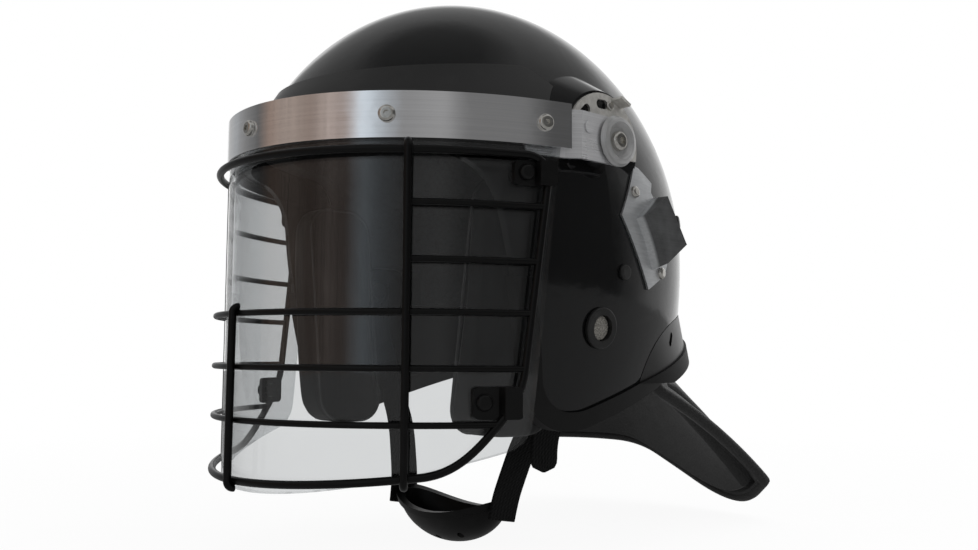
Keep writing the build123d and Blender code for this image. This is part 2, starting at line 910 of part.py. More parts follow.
def make_upright(angle, low, high, low_out, high_out):
    """A straight upright wire outside the rails, hooked in over the wires at its ends."""
    base = plan_point(guard_half_width, guard_depth, angle)
    out = plan_place(0.0, angle, 0.0).z_dir
    up = Vector(0, 0, 1)
    foot_out, head_out = base + out * low_out, base + out * high_out
    foot_corner = low_out * (1 - quarter_share)
    head_corner = high_out * (1 - quarter_share)
    foot_bend = ThreePointArc(
        base + up * (low - low_out),
        base + out * (low_out - foot_corner) + up * (low - low_out + foot_corner),
        foot_out + up * low,
    )
    shaft = Line(foot_out + up * low, head_out + up * high)
    head_bend = ThreePointArc(
        head_out + up * high,
        base + out * (high_out - head_corner) + up * (high + high_out - head_corner),
        base + up * (high + high_out),
    )
    return wire(Wire([foot_bend, shaft, head_bend]), frame_radius)


def make_uprights():
    """Two long uprights and a short one at the chin."""
    side = degrees(asin_share(upright_x / guard_half_width))
    on_frame = 2 * frame_radius - weld
    on_rail = frame_radius + rail_radius - weld
    side_y = plan_point(guard_half_width, guard_depth, side).Y
    long_low = guard_foot(side_y)
    left = make_upright(side, long_low, guard_top_level, on_frame, on_frame)
    chin_low = guard_foot(visor_centre_y - guard_depth)
    chin = make_upright(0.0, chin_low, max(rail_levels), on_frame, on_rail)
    return group(chin, left, mirrored(left))


def make_clips():
    """Moulded clamps that hold the guard's side wires to the lens."""
    frame = make_guard_frame(frame_radius + clip_fit)
    clips = []
    for (front, back, low, high), (screw_y, screw_z) in zip(clip_boxes, clip_screw_places):
        size = back - front, high - low
        middle = (front + back) / 2, (low + high) / 2
        outline = Pos(*middle) * RectangleRounded(*size, clip_corner_radius)
        plate = plan_sheet(clip_wall + seal_fit, clip_wall, back + overrun, low, size[1])
        hump_wall = guard_half_width - lens_half_width + frame_radius + clip_wall / 2
        hump = plan_sheet(hump_wall + seal_fit, hump_wall, back + overrun, low, size[1])
        wire_y = side_wire_y(middle[1])
        near = Pos(wire_y, middle[1]) * Rectangle(clip_hump_length, 2 * size[1])
        near = extrude(Plane.YZ * near, amount=reach)
        clip = (plate + (hump & near)) & extrude(Plane.YZ * outline, amount=reach)
        clip -= frame
        angle = plan_angle(lens_depth, screw_y)
        hole = Cylinder(screw_shank_radius + screw_fit, 8 * clip_wall)
        clip -= plan_place(0.0, angle, screw_z) * hole
        clips.append(max(clip.solids(), key=lambda solid: solid.volume))
    return group(*clips, *[mirrored(clip) for clip in clips])


def make_clip_bolts():
    bolts = []
    for place in clip_places():
        length = clip_wall + lens_thickness + seal_fit + screw_fit
        head = screw_head_radius - screw_fit, screw_head_height
        bolt = domed_screw(*head, screw_shank_radius, length + rivet_tail)
        foot = Pos(0, 0, -length - rivet_tail / 2) * Cylinder(screw_head_radius, rivet_tail)
        bolts.append(place * Pos(0, 0, clip_wall + seal_fit) * (bolt + foot))
    return group(*bolts)


def make_mask_bracket():
    """Left gas mask bracket: a plate on the shell with a raised pocket open to the rear."""
    plate = (egg(bracket_gap + bracket_wall) - egg(bracket_gap)) & extrude(
        Plane.YZ * closed(*bracket_places), amount=reach
    )
    turn = radians(pocket_turn)
    y, z = pocket_middle
    along = Vector(0, cos(turn), sin(turn))
    place = Plane(origin=(0, y, z), x_dir=along, z_dir=along.cross(Vector(1, 0, 0)))

    def box(inset, length, open_end):
        near, far = inset - pocket_depth / 2, pocket_depth / 2 + open_end
        top = pocket_face_x - inset
        bevel = (near, top - pocket_bevel), (near + pocket_bevel, top)
        face = closed((near, 0), *bevel, (far, top), (far, 0))
        return extrude(place * face, amount=length / 2, both=True)

    pocket = box(0, pocket_length, 0) - box(pocket_wall, pocket_length - 2 * pocket_wall, overrun)
    bracket = plate + (pocket - egg(bracket_gap)) - pivot_cone(bracket_gap)
    for y, z in bracket_screw_places:
        bracket -= side_place(y, z) * Cylinder(screw_shank_radius + screw_fit, 4 * shell_wall)
    return bracket


def make_bracket_screws():
    screws, nuts = [], []
    for y, z in bracket_screw_places:
        place = side_place(y, z)
        seat = bracket_gap + bracket_wall
        length = seat + shell_wall + overrun + nut_height
        head = bracket_screw_radius, bracket_screw_height
        screw = domed_screw(*head, screw_shank_radius, length)
        screws.append(place * Pos(0, 0, seat) * screw)
        nut = hex_nut(nut_radius, nut_height, screw_shank_radius + bolt_fit / 2)
        nuts.append(place * Pos(0, 0, seat - length) * nut)
    both = screws + [mirrored(screw) for screw in screws]
    inner = nuts + [mirrored(nut) for nut in nuts]
    return group(*both), group(*inner)


def make_vents():
    rings, foams = [], []
    for sign in (-1, 1):
        place = side_place(vent_y, vent_level, sign)
        sleeve = Cylinder(vent_sleeve_radius, shell_wall + vent_proud)
        sleeve = Pos(0, 0, (vent_proud - shell_wall) / 2) * sleeve
        flange = Pos(0, 0, vent_proud / 2 + vent_fit) * Cylinder(vent_radius, vent_proud)
        flange = fillet(flange.edges().group_by(Axis.Z)[-1], vent_proud / 2)
        ring = flange + sleeve - Cylinder(vent_bore, 4 * (shell_wall + vent_proud))
        rings.append(place * ring)
        foam = Pos(0, 0, -shell_wall / 2) * Cylinder(vent_bore - vent_fit, vent_foam_thickness)
        foams.append(place * foam)
    return group(*rings), group(*foams)


def make_shell_rivets():
    rivets = []
    for sign in (-1, 1):
        for y, z in rivet_places:
            length = shell_wall + 2 * rivet_seat + rivet_tail
            rivet = domed_screw(rivet_radius, rivet_height, rivet_shank, length)
            tail = Pos(0, 0, rivet_tail / 2 - length) * Cylinder(rivet_tail_radius, rivet_tail)
            rivets.append(side_place(y, z, sign) * Pos(0, 0, rivet_seat) * (rivet + tail))
    return group(*rivets)


def strap_lean():
    """How far the straps run back for each millimetre that they rise."""
    return (anchor_y - cup_y) / (anchor_level - strap_foot_level)


def strap_across():
    """The way across the webbing, square to the plane that the straps hang in."""
    return Vector(0, 1, -strap_lean()).normalized()


def strap_points():
    """Centre line of the left strap, from inside the shell down to the cup."""
    lift = strap_thickness / 2 + anchor_gap
    top_x = shell_x(anchor_y, strap_top_level, -shell_wall) - lift
    knee_x = shell_x(anchor_y, strap_knee_level, -shell_wall) - lift
    end_x = strap_foot_x - strap_thickness / 2
    places = (
        (top_x, strap_top_level), (knee_x, strap_knee_level), (strap_foot_x, strap_foot_level),
        (end_x, strap_end_level),
    )
    return [(x, anchor_y + (z - anchor_level) * strap_lean(), z) for x, z in places]


def strap_anchor(sign=1):
    """Plane at a strap's anchor on the shell's inner face, facing outwards."""
    y, z = anchor_y, anchor_level
    return Plane(
        origin=(sign * shell_x(y, z, -shell_wall), y, z), x_dir=(0, sign, 0), z_dir=(sign, 0, 0)
    )


def ribbon(points, radius, width, thickness):
    """A flat webbing along a polyline in the straps' plane, its corners rounded."""
    path = FilletPolyline(*points, radius=radius)
    start = Plane(origin=path @ 0, x_dir=strap_across(), z_dir=path % 0)
    return sweep(start * Rectangle(width, thickness), path=path)


def make_strap():
    strap = ribbon(strap_points(), strap_knee_radius, strap_width, strap_thickness)
    return strap - strap_anchor() * Cylinder(rivet_shank + running_gap, 8 * shell_wall)


def make_strap_anchors():
    """Domed rivets through the shell that the straps turn on."""
    inside = -2 * anchor_gap - strap_thickness - anchor_washer
    outside = shell_wall + rivet_height / 2
    shank = Pos(0, 0, (outside + inside) / 2) * Cylinder(rivet_shank, outside - inside)
    washer = Pos(0, 0, inside + anchor_washer / 2) * Cylinder(anchor_washer_radius, anchor_washer)
    head = domed_screw(rivet_radius, rivet_height, rivet_shank, rivet_seat)
    left = strap_anchor() * (shank + washer)
    left += side_place(anchor_y, anchor_level) * Pos(0, 0, rivet_seat) * head
    return group(left, mirrored(left))


def half_bowl(grow):
    size = cup_half_width + grow, cup_half_length + grow, cup_depth + grow
    return Pos(0, cup_y, cup_level) * scale(Sphere(1, arc_size2=0, align=None), by=size)


def make_chin_cup():
    """Moulded chin cup with a lip that dips in the middle, and air holes."""
    bend = (cup_half_width**2 + cup_dip**2) / (2 * cup_dip)
    middle = Pos(0, cup_y, cup_level - cup_dip + bend) * Rot(90, 0, 0)
    lip = half_bowl(cup_lip) & (middle * Cylinder(bend + cup_lip_height, reach))
    cup = half_bowl(0) + lip - half_bowl(-cup_wall) - middle * Cylinder(bend, reach)
    for x in (-cup_hole_share * cup_half_width, 0, cup_hole_share * cup_half_width):
        for side in (-1, 1):
            hole = Cylinder(cup_hole_radius, 4 * cup_depth)
            y = cup_y + side * cup_hole_share * cup_half_length
            cup -= Pos(x, y, cup_level - cup_depth) * hole
    return cup


def strap_slope():
    """The left strap's free run: a place on it for the buckle, its way down and its outer side."""
    knee, foot = [Vector(*point) for point in strap_points()[1:3]]
    way = (foot - knee).normalized()
    side = strap_across().cross(way)
    return knee + (foot - knee) * buckle_share, way, side * (1 if side.Z < 0 else -1)


def make_buckle():
    """Slide buckle round the left strap and its tail."""
    middle, way, side = strap_slope()
    layer = strap_thickness + strap_gap
    place = Plane(origin=middle + side * layer / 2, x_dir=strap_across(), z_dir=way)
    slot = Rectangle(strap_width + 2 * strap_gap, 2 * layer + strap_gap)
    size = strap_width + 2 * buckle_rim, 2 * layer + 2 * buckle_wall
    outer = RectangleRounded(*size, buckle_wall)
    return extrude(place * (outer - slot), amount=buckle_length / 2, both=True)


def make_tail():
    """The left strap's loose end, doubled through the buckle and hanging below it."""
    middle, way, side = strap_slope()
    start = middle + side * (strap_thickness + strap_gap)
    bend = start + way * tail_run
    drop = Vector(tail_sway, -tail_drop * strap_lean(), -tail_drop)
    points = [start - way * tail_rise, bend, bend + drop]
    tail = ribbon(points, tail_bend_radius, strap_width, strap_thickness)
    edges = tail.edges().filter_by(lambda edge: abs(edge.length - strap_thickness) < strap_gap)
    return fillet(edges.group_by(Axis.Z)[0], tail_corner_radius)


def neck_edge_level(x):
    """Level of the shell's rear edge at a place across the nape."""
    level = jaw_edge(shell_half_length)
    for _ in range(search_steps):
        level = jaw_edge(shell_y(x, level))
    return level


def neck_places(share):
    """Stem top, bend and hem of the neck guard's middle surface, and its stem's slant."""
    x = share * neck_half_width
    inset = -shell_wall - trim_wall - neck_gap
    edge = neck_edge_level(x)
    y = shell_y(x, edge, inset)
    near = abs(x) - overrun
    slant = sqrt(1 + ((shell_y(near, edge, inset) - y) / overrun) ** 2)
    middle = y - slant * neck_wall / 2
    hem_y = neck_hem_y - (neck_hem_y - neck_corner_y) * share**2
    hem_level = neck_hem_level - (neck_hem_level - neck_corner_level) * share**2
    return (
        Vector(x, middle, edge + neck_rise),
        Vector(x, middle, edge - neck_bend_drop),
        Vector(x, hem_y, hem_level),
        slant,
    )


def neck_section(share):
    """Upright section of the neck guard: a stem inside the shell and a flared flap."""
    top, bend, hem, slant = neck_places(share)
    run = (hem - bend).normalized()
    out = Vector(0, -run.Z, run.Y) * (neck_wall / 2)
    back = Vector(0, slant * neck_wall / 2, 0)
    middle = (bend + hem) / 2
    return Face(Wire([
        Line(top + back, bend + back),
        ThreePointArc(bend + back, middle + out + out, hem + out),
        Line(hem + out, hem - out),
        ThreePointArc(hem - out, middle, bend - back),
        Line(bend - back, top - back),
        Line(top - back, top + back),
    ]))


def neck_panel_section(share):
    """Section of the padding that stands proud of the flap's inner face."""
    _, bend, hem, _ = neck_places(share)
    run = (hem - bend).normalized()
    out = Vector(0, -run.Z, run.Y)
    middle = (bend + hem) / 2
    inner = out * (neck_pad - neck_wall / 2)
    return Face(Wire([
        ThreePointArc(bend, middle + out * (neck_wall / 2), hem),
        Line(hem, hem - inner),
        ThreePointArc(hem - inner, middle - inner - out * neck_crown, bend - inner),
        Line(bend - inner, bend),
    ]))


def neck_prism(inset):
    """The neck guard's outline across its flap, drawn in by inset."""
    lean = radians(neck_lean)
    flap = Plane(origin=(0, 0, 0), x_dir=(1, 0, 0), z_dir=(0, sin(lean), cos(lean)))

    def along(y, level):
        return y * cos(lean) - level * sin(lean)

    side = neck_half_width - inset
    head = along(*tuple(neck_places(0.0)[1])[1:]) if inset else 0.0
    top = head + inset
    corner = along(neck_corner_y, neck_corner_level) - inset
    middle = along(neck_hem_y, neck_hem_level) - inset
    outline = make_face([
        Line((-side, corner), (-side, top)),
        Line((-side, top), (side, top)),
        Line((side, top), (side, corner)),
        ThreePointArc((side, corner), (0, middle), (-side, corner)),
    ])
    for x in (-side, side):
        outline = rounded(outline, (x, corner), neck_corner_radius - inset)
    return extrude(flap * outline, amount=reach, both=True)


def make_neck_guard():
    """Padded neck guard: a flap with a rounded hem and a raised panel sewn in from its edge."""
    flap = loft([neck_section(share) for share in neck_station_shares])
    panel = loft([neck_panel_section(share) for share in neck_station_shares])
    guard = (flap & neck_prism(0)) + (panel & neck_prism(neck_seam))
    for place, _ in snap_planes():
        guard -= place * Cylinder(snap_shank + screw_fit, 4 * neck_wall)
    return guard


def snap_planes():
    """Planes on the outer face of the neck guard's stem, and their distances to the shell."""
    places = []
    for x in snap_places:
        top, _, _, slant = neck_places(x / neck_half_width)
        level = neck_edge_level(x) + trim_width + snap_radius
        face_y = top.Y + slant * neck_wall / 2
        across = sqrt(1 - 1 / slant**2) if x >= 0 else -sqrt(1 - 1 / slant**2)
        place = Plane(
            origin=(x, face_y, level), x_dir=(1 / slant, -across, 0), z_dir=(across, 1 / slant, 0)
        )
        places.append((place, (shell_y(x, level, -shell_wall) - face_y) / slant))
    return places


def make_snaps():
    """Press studs that hold the neck guard's stem inside the shell."""
    studs = []
    for place, gap in snap_planes():
        outside, inside = gap + snap_depth, -neck_wall - strap_gap
        shank = Pos(0, 0, (outside + inside) / 2) * Cylinder(snap_shank, outside - inside)
        cap = Pos(0, 0, inside - snap_height / 2) * Cylinder(snap_radius, snap_height)
        cap = fillet(cap.edges().group_by(Axis.Z)[0], snap_height / 2)
        studs.append(place * (shank + cap))
    return group(*studs)


screws, nuts = make_bracket_screws()
vent_rings, vent_foams = make_vents()
parts = {
    "shell": make_shell(),
    "brow_panel": make_brow_panel(),
    "rear_skirt": make_rear_skirt(),
    "edge_trim": make_edge_trim(),
    "impact_liner": make_liner(),
    "crown_pad": make_crown_pad(),
    "brow_pad": make_band_pad(brow_pad_half_width, brow_pad_low, brow_pad_high, -1),
    "nape_pad": make_band_pad(nape_pad_half_width, nape_pad_low, nape_pad_high, 1),
    "cheek_pad_left": make_cheek_pad(),
    "ear_vent_rings": vent_rings,
    "ear_vent_foams": vent_foams,
    "shell_rivets": make_shell_rivets(),
    "detent_plate_left": make_detent_plate(),
    "detent_rivets": make_detent_rivets(),
    "pivot_bushings": make_bushings(),
    "pivot_caps": make_caps(),
    "pivot_bolts": make_pivot_bolts(),
    "pivot_nuts": make_pivot_nuts(),
    "mask_bracket_left": make_mask_bracket(),
    "bracket_screws": screws,
    "bracket_nuts": nuts,
    "neck_guard": make_neck_guard(),
    "neck_guard_snaps": make_snaps(),
    "strap_anchors": make_strap_anchors(),
    "visor_lens": make_lens(),
    "visor_band": make_band(),
    "visor_seal": make_seal(),
    "band_bolts": make_band_bolts(),
    "band_nuts": make_band_nuts(),
    "visor_arm_left": make_arm(),
    "detent_plungers": make_plungers(),
    "guard_frame": make_guard_frame(),
    "guard_rail_upper": make_rail(rail_levels[0]),
    "guard_rail_middle": make_rail(rail_levels[1]),
    "guard_rail_lower": make_rail(rail_levels[2]),
    "side_rails_left": make_side_rails(),
    "guard_uprights": make_uprights(),
    "guard_clamps": make_clips(),
    "clamp_bolts": make_clip_bolts(),
    "chin_strap_left": make_strap(),
    "chin_cup": make_chin_cup(),
    "strap_buckle": make_buckle(),
    "strap_tail": make_tail(),
}
for name in [name for name in parts if name.endswith("_left")]:
    parts[name.replace("_left", "_right")] = mirrored(parts[name])

os.makedirs("parts", exist_ok=True)
for name, part in parts.items():
    part.label = name
    export_step(part, f"parts/{name}.step")
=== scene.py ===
from functools import lru_cache
from math import cos, pi, radians, sin, sqrt, tan

import bmesh
import bpy
from mathutils import Matrix, Vector


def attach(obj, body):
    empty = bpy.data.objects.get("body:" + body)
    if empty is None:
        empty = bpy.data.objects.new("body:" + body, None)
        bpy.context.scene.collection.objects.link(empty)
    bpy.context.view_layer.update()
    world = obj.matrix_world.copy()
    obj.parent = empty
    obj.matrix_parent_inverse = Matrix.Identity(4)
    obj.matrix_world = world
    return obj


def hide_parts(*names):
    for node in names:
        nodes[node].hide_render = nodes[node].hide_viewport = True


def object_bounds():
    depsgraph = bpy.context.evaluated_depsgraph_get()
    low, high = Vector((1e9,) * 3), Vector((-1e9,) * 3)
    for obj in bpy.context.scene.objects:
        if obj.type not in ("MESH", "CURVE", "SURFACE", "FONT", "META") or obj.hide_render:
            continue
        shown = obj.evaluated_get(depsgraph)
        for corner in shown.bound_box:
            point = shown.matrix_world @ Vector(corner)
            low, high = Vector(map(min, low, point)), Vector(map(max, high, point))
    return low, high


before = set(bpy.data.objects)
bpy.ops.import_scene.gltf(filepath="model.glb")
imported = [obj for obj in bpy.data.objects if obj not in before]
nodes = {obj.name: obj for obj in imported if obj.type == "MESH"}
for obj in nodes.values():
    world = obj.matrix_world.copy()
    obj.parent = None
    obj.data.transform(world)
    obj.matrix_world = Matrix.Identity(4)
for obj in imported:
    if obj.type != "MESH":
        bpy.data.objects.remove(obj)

# Police riot helmet: materials for the CAD nodes, and the soft pieces made anew.
# Metres. The face looks along -Y, the wearer's left is +X and +Z is up.

cad_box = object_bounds()

# Half axes of the shell's egg, which is deeper below than above
shell_half_width = 0.115
shell_half_length = 0.1475
shell_rise = 0.154
shell_drop = 0.205


def shell_radii(z, grow):
    """Half axes of the shell's egg at a level, grown outwards by grow."""
    height = shell_rise if z >= 0 else shell_drop
    return shell_half_width + grow, shell_half_length + grow, height + grow


# Shader building

class Signal:
    """A shader socket that can stand in a sum."""

    def __init__(self, finish, socket):
        self.finish, self.socket = finish, socket

    def __add__(self, other):
        return self.finish.sum("ADD", self, other)

    def __sub__(self, other):
        return self.finish.sum("SUBTRACT", self, other)

    def __rsub__(self, other):
        return self.finish.sum("SUBTRACT", other, self)

    def __mul__(self, other):
        return self.finish.sum("MULTIPLY", self, other)

    def __truediv__(self, other):
        return self.finish.sum("DIVIDE", self, other)

    __radd__ = __add__
    __rmul__ = __mul__


class Finish:
    """A material, or the world, that is built node by node."""

    def __init__(self, name, home=bpy.data.materials):
        self.owner = home.new(name)
        self.owner.use_nodes = True
        self.tree = self.owner.node_tree
        self.tree.nodes.clear()

    def node(self, kind, settings=None, inputs=None, output=0):
        """Adds a node, sets it up, feeds its inputs and returns one of its outputs."""
        node = self.tree.nodes.new("ShaderNode" + kind)
        for key, value in (settings or {}).items():
            if key == "stops":
                ramp = node.color_ramp
                for place, colour in value[1:-1]:
                    ramp.elements.new(place).color = colour
                ramp.elements[0].color = value[0][1]
                ramp.elements[len(value) - 1].color = value[-1][1]
            else:
                setattr(node, key, value)
        for key, value in (inputs or {}).items():
            if isinstance(value, Signal):
                self.tree.links.new(value.socket, node.inputs[key])
            else:
                node.inputs[key].default_value = value
        return Signal(self, node.outputs[output])

    def sum(self, operation, *values):
        return self.node("Math", {"operation": operation}, dict(enumerate(values)))

    def place(self):
        return self.node("TexCoord", output="Object")

    def stretched(self, scale):
        """Object coordinates stretched along each axis."""
        return self.node("Mapping", {}, {"Vector": self.place(), "Scale": scale})

    def noise(self, scale, detail=3.0, roughness=0.5, source=None):
        return self.node("TexNoise", {}, {
            "Vector": source or self.place(), "Scale": scale, "Detail": detail, "Roughness": roughness,
        })

    def cells(self, scale, feature="F1", source=None):
        inputs = {"Vector": source or self.place(), "Scale": scale}
        return self.node("TexVoronoi", {"feature": feature}, inputs, output="Distance")

    def waves(self, source, scale, direction, **inputs):
        """Soft bands across a direction, like yarns."""
        settings = {"wave_type": "BANDS", "bands_direction": direction, "wave_profile": "SIN"}
        inputs = {key.replace("_", " "): value for key, value in inputs.items()}
        return self.node("TexWave", settings, {"Vector": source, "Scale": scale, **inputs})

    def range(self, signal, low, high, from_low=0.0, from_high=1.0):
        return self.node("MapRange", {"clamp": True}, {
            "Value": signal, "From Min": from_low, "From Max": from_high, "To Min": low, "To Max": high,
        })

    def mask(self, signal, low, high):
        """0 up to low, 1 from high on."""
        return self.range(signal, 0.0, 1.0, low, high)

    def blend(self, share, first, second):
        """Mixes two colours, which a Mix node takes by its sockets 6 and 7."""
        return self.node("Mix", {"data_type": "RGBA"}, {0: share, 6: first, 7: second}, output=2)

    def bump(self, height, strength, distance):
        return self.node("Bump", {}, {"Height": height, "Strength": strength, "Distance": distance})

    def surface(self, **sockets):
        """A Principled shader, its sockets named with underscores."""
        inputs = {key.replace("_", " "): value for key, value in sockets.items()}
        return self.node("BsdfPrincipled", {}, inputs)

    def mix(self, share, first, second):
        """Mixes two shaders."""
        return self.node("MixShader", {}, {0: share, 1: first, 2: second})

    def done(self, shader, output="OutputMaterial"):
        end = self.tree.nodes.new("ShaderNode" + output)
        self.tree.links.new(shader.socket, end.inputs["Surface"])
        return self.owner


def grey(level):
    return (level, level, level, 1.0)


# Finishes

plastic_ior = 1.45
polycarbonate_ior = 1.5


def shell_gloss():
    """Polished black shell, with a little orange peel, dust and hairline scratches."""
    finish = Finish("shell_black")
    cloud = finish.noise(scale=9, detail=4)
    peel = finish.noise(scale=220, detail=2)
    dust = finish.mask(finish.noise(scale=900, detail=2, roughness=0.7), 0.62, 0.72)
    hair = finish.noise(scale=160, detail=3, roughness=0.6, source=finish.stretched((1.0, 0.05, 1.0)))
    hair = finish.mask(hair, 0.66, 0.70)
    colour = finish.blend(cloud, (0.0018, 0.0019, 0.0020, 1), (0.0036, 0.0037, 0.0038, 1))
    return finish.done(finish.surface(
        Base_Color=finish.blend(dust * 0.1, colour, grey(0.03)),
        Roughness=finish.range(cloud, 0.07, 0.12) + hair * 0.08 + dust * 0.1,
        IOR=plastic_ior,
        Normal=finish.bump(peel, strength=0.06, distance=0.0006),
    ))


def panel_satin():
    """Satin black skin of the brow panel and rear skirt, with a fine moulded grain."""
    finish = Finish("panel_black")
    cloud = finish.noise(scale=14, detail=4)
    grain = finish.noise(scale=1500, detail=2, roughness=0.6)
    rub = finish.mask(finish.noise(scale=60, detail=5, roughness=0.65), 0.55, 0.8)
    colour = finish.blend(cloud, grey(0.006), grey(0.011))
    return finish.done(finish.surface(
        Base_Color=finish.blend(rub * 0.2, colour, grey(0.028)),
        Roughness=finish.range(cloud, 0.30, 0.38) - rub * 0.06,
        IOR=plastic_ior,
        Normal=finish.bump(grain, strength=0.12, distance=0.0002),
    ))


def rubber(name, level, roughness):
    """Extruded rubber with a matt bloom and dust in its grain."""
    finish = Finish(name)
    cloud = finish.noise(scale=25, detail=5, roughness=0.6)
    grain = finish.noise(scale=2200, detail=2, roughness=0.6)
    return finish.done(finish.surface(
        Base_Color=finish.blend(finish.mask(cloud, 0.35, 0.75), grey(level), grey(level * 1.9)),
        Roughness=finish.range(cloud, roughness - 0.05, roughness + 0.08),
        Specular_IOR_Level=0.25,
        Normal=finish.bump(grain, strength=0.25, distance=0.0002),
    ))


def bead_foam():
    """Black impact foam of pressed beads."""
    finish = Finish("liner_foam")
    bead_scale = 330
    beads = finish.cells(bead_scale)
    cracks = finish.mask(finish.cells(bead_scale, "DISTANCE_TO_EDGE"), 0.0, 0.08)
    return finish.done(finish.surface(
        Base_Color=finish.blend(cracks, grey(0.008), grey(0.024)),
        Roughness=finish.range(beads, 0.6, 0.75),
        Normal=finish.bump(cracks - beads * 0.4, strength=0.4, distance=0.0006),
    ))


def open_foam():
    """Grey open-cell foam of the ear vents."""
    finish = Finish("vent_foam")
    pores = finish.cells(1300)
    dirt = finish.noise(scale=160, detail=4, roughness=0.6)
    pore_grey, rim_grey = (0.075, 0.072, 0.066, 1), (0.19, 0.18, 0.16, 1)
    colour = finish.blend(finish.mask(pores, 0.15, 0.6), pore_grey, rim_grey)
    return finish.done(finish.surface(
        Base_Color=finish.blend(dirt * 0.5, colour, grey(0.06)),
        Roughness=finish.range(dirt, 0.85, 0.95),
        Normal=finish.bump(pores, strength=0.9, distance=0.0006),
    ))


def moulded_black(name, level, roughness, shine=0.35):
    """Moulded plastic or black plated metal, rubbed paler on its high spots."""
    finish = Finish(name)
    cloud = finish.noise(scale=90, detail=4, roughness=0.6)
    grain = finish.noise(scale=1800, detail=2)
    rub = finish.mask(cloud, 0.55, 0.78)
    return finish.done(finish.surface(
        Base_Color=finish.blend(rub, grey(level), grey(level * 2.0)),
        Roughness=finish.range(cloud, roughness + 0.06, roughness - 0.06),
        Specular_IOR_Level=shine,
        Normal=finish.bump(grain, strength=0.15, distance=0.0002),
    ))


def metal(name, colour, worn, roughness, brushed, depth=0.12, metallic=1.0, painted_dark_above=0.0):
    """Bare metal with stains, small scratches and brush lines, which run along the small scales.

    Where it stands further off the shell than the given height, its colour is painted dark: a painted
    reflection of the dark room.
    """
    finish = Finish(name)
    lines = finish.noise(scale=1.0, detail=4, roughness=0.65, source=finish.stretched(brushed))
    stain = finish.mask(finish.noise(scale=55, detail=5, roughness=0.6), 0.42, 0.72)
    drawn = finish.stretched((1.0, 0.12, 0.35))
    scratch = finish.mask(finish.noise(scale=240, detail=3, roughness=0.6, source=drawn), 0.68, 0.72)
    tone = finish.blend(finish.mask(lines, 0.3, 0.7), (*worn, 1), (*colour, 1))
    tone = finish.blend(stain * 0.45, tone, (*worn, 1))
    if painted_dark_above:
        # The scaled place is 1 long on the shell grown by the given height, and longer outside it
        across, long, up = shell_radii(0, painted_dark_above)
        scaled = finish.stretched((1 / across, 1 / long, 1 / up))
        height = finish.node("VectorMath", {"operation": "LENGTH"}, {0: scaled}, output="Value")
        # Painted dark reflection: the raised parts are darkened towards near black, a little less where
        # stained
        raised = finish.mask(height, 1.0, 1.012)
        tone = finish.blend(raised * finish.range(stain, 0.86, 0.72), tone, grey(0.03))
    rough = finish.range(lines, roughness - 0.04, roughness + 0.07)
    return finish.done(finish.surface(
        Base_Color=tone,
        Metallic=metallic,
        Roughness=rough + stain * 0.08 + scratch * 0.1,
        Normal=finish.bump(lines + scratch * 0.5, strength=depth, distance=0.0002),
    ))


def clear_lens():
    """Clear polycarbonate with a grey tint that mirrors the room, more so where seen edge on."""
    finish = Finish("lens_clear")
    smear = finish.noise(scale=30, detail=4, roughness=0.6)
    clear = finish.node("BsdfTransparent", {}, {"Color": (0.838, 0.846, 0.849, 1.0)})
    mirror = finish.surface(
        Base_Color=grey(1.0),
        Metallic=1.0,
        Roughness=finish.range(smear, 0.02, 0.05),
    )
    # A ray that leaves the sheet meets its back face, where Fresnel wants the inverse
    leaving = finish.node("NewGeometry", output="Backfacing")
    ior = finish.range(leaving, polycarbonate_ior, 1 / polycarbonate_ior)
    sheen = finish.node("Fresnel", {}, {"IOR": ior})
    share = sheen * 1.1 + finish.range(smear, 0.0, 0.015, 0.5, 0.8)
    return finish.done(finish.mix(share, clear, mirror))


def webbing():
    """Black woven webbing: a twill of raised yarns on the strap's own map."""
    finish = Finish("strap_webbing")
    uv = finish.node("TexCoord", output="UV")
    warp = finish.waves(uv, 2.6, "X", Distortion=0.5, Detail=1.0)
    weft = finish.waves(uv, 5.0, "DIAGONAL", Distortion=0.6, Detail=1.0)
    weave = warp * 0.55 + weft * 0.45
    fuzz = finish.noise(scale=900, detail=3, roughness=0.7)
    colour = finish.blend(weave, grey(0.0015), grey(0.006))
    return finish.done(finish.surface(
        Base_Color=finish.blend(fuzz * 0.2, colour, grey(0.012)),
        Roughness=finish.range(fuzz, 0.62, 0.8),
        Specular_IOR_Level=0.12,
        Normal=finish.bump(weave + fuzz * 0.2, strength=0.7, distance=0.0006),
    ))


def brushed_knit(name, level):
    """Brushed knit cloth with fine wales and a soft nap."""
    finish = Finish(name)
    wale = finish.waves(finish.place(), 90.0, "Y", Distortion=0.6, Detail=1.0, Detail_Scale=2.0)
    nap = finish.noise(scale=1100, detail=3, roughness=0.7)
    cloud = finish.noise(scale=22, detail=4, roughness=0.6)
    colour = finish.blend(finish.range(cloud, 0.2, 0.8), grey(level), grey(level * 1.6))
    return finish.done(finish.surface(
        Base_Color=finish.blend(wale * 0.35 + nap * 0.25, colour, grey(level * 2.3)),
        Roughness=finish.range(nap, 0.78, 0.92),
        Specular_IOR_Level=0.2,
        Sheen_Weight=0.08,
        Sheen_Roughness=0.45,
        Normal=finish.bump(wale * 0.6 + nap * 0.5, strength=0.45, distance=0.0004),
    ))


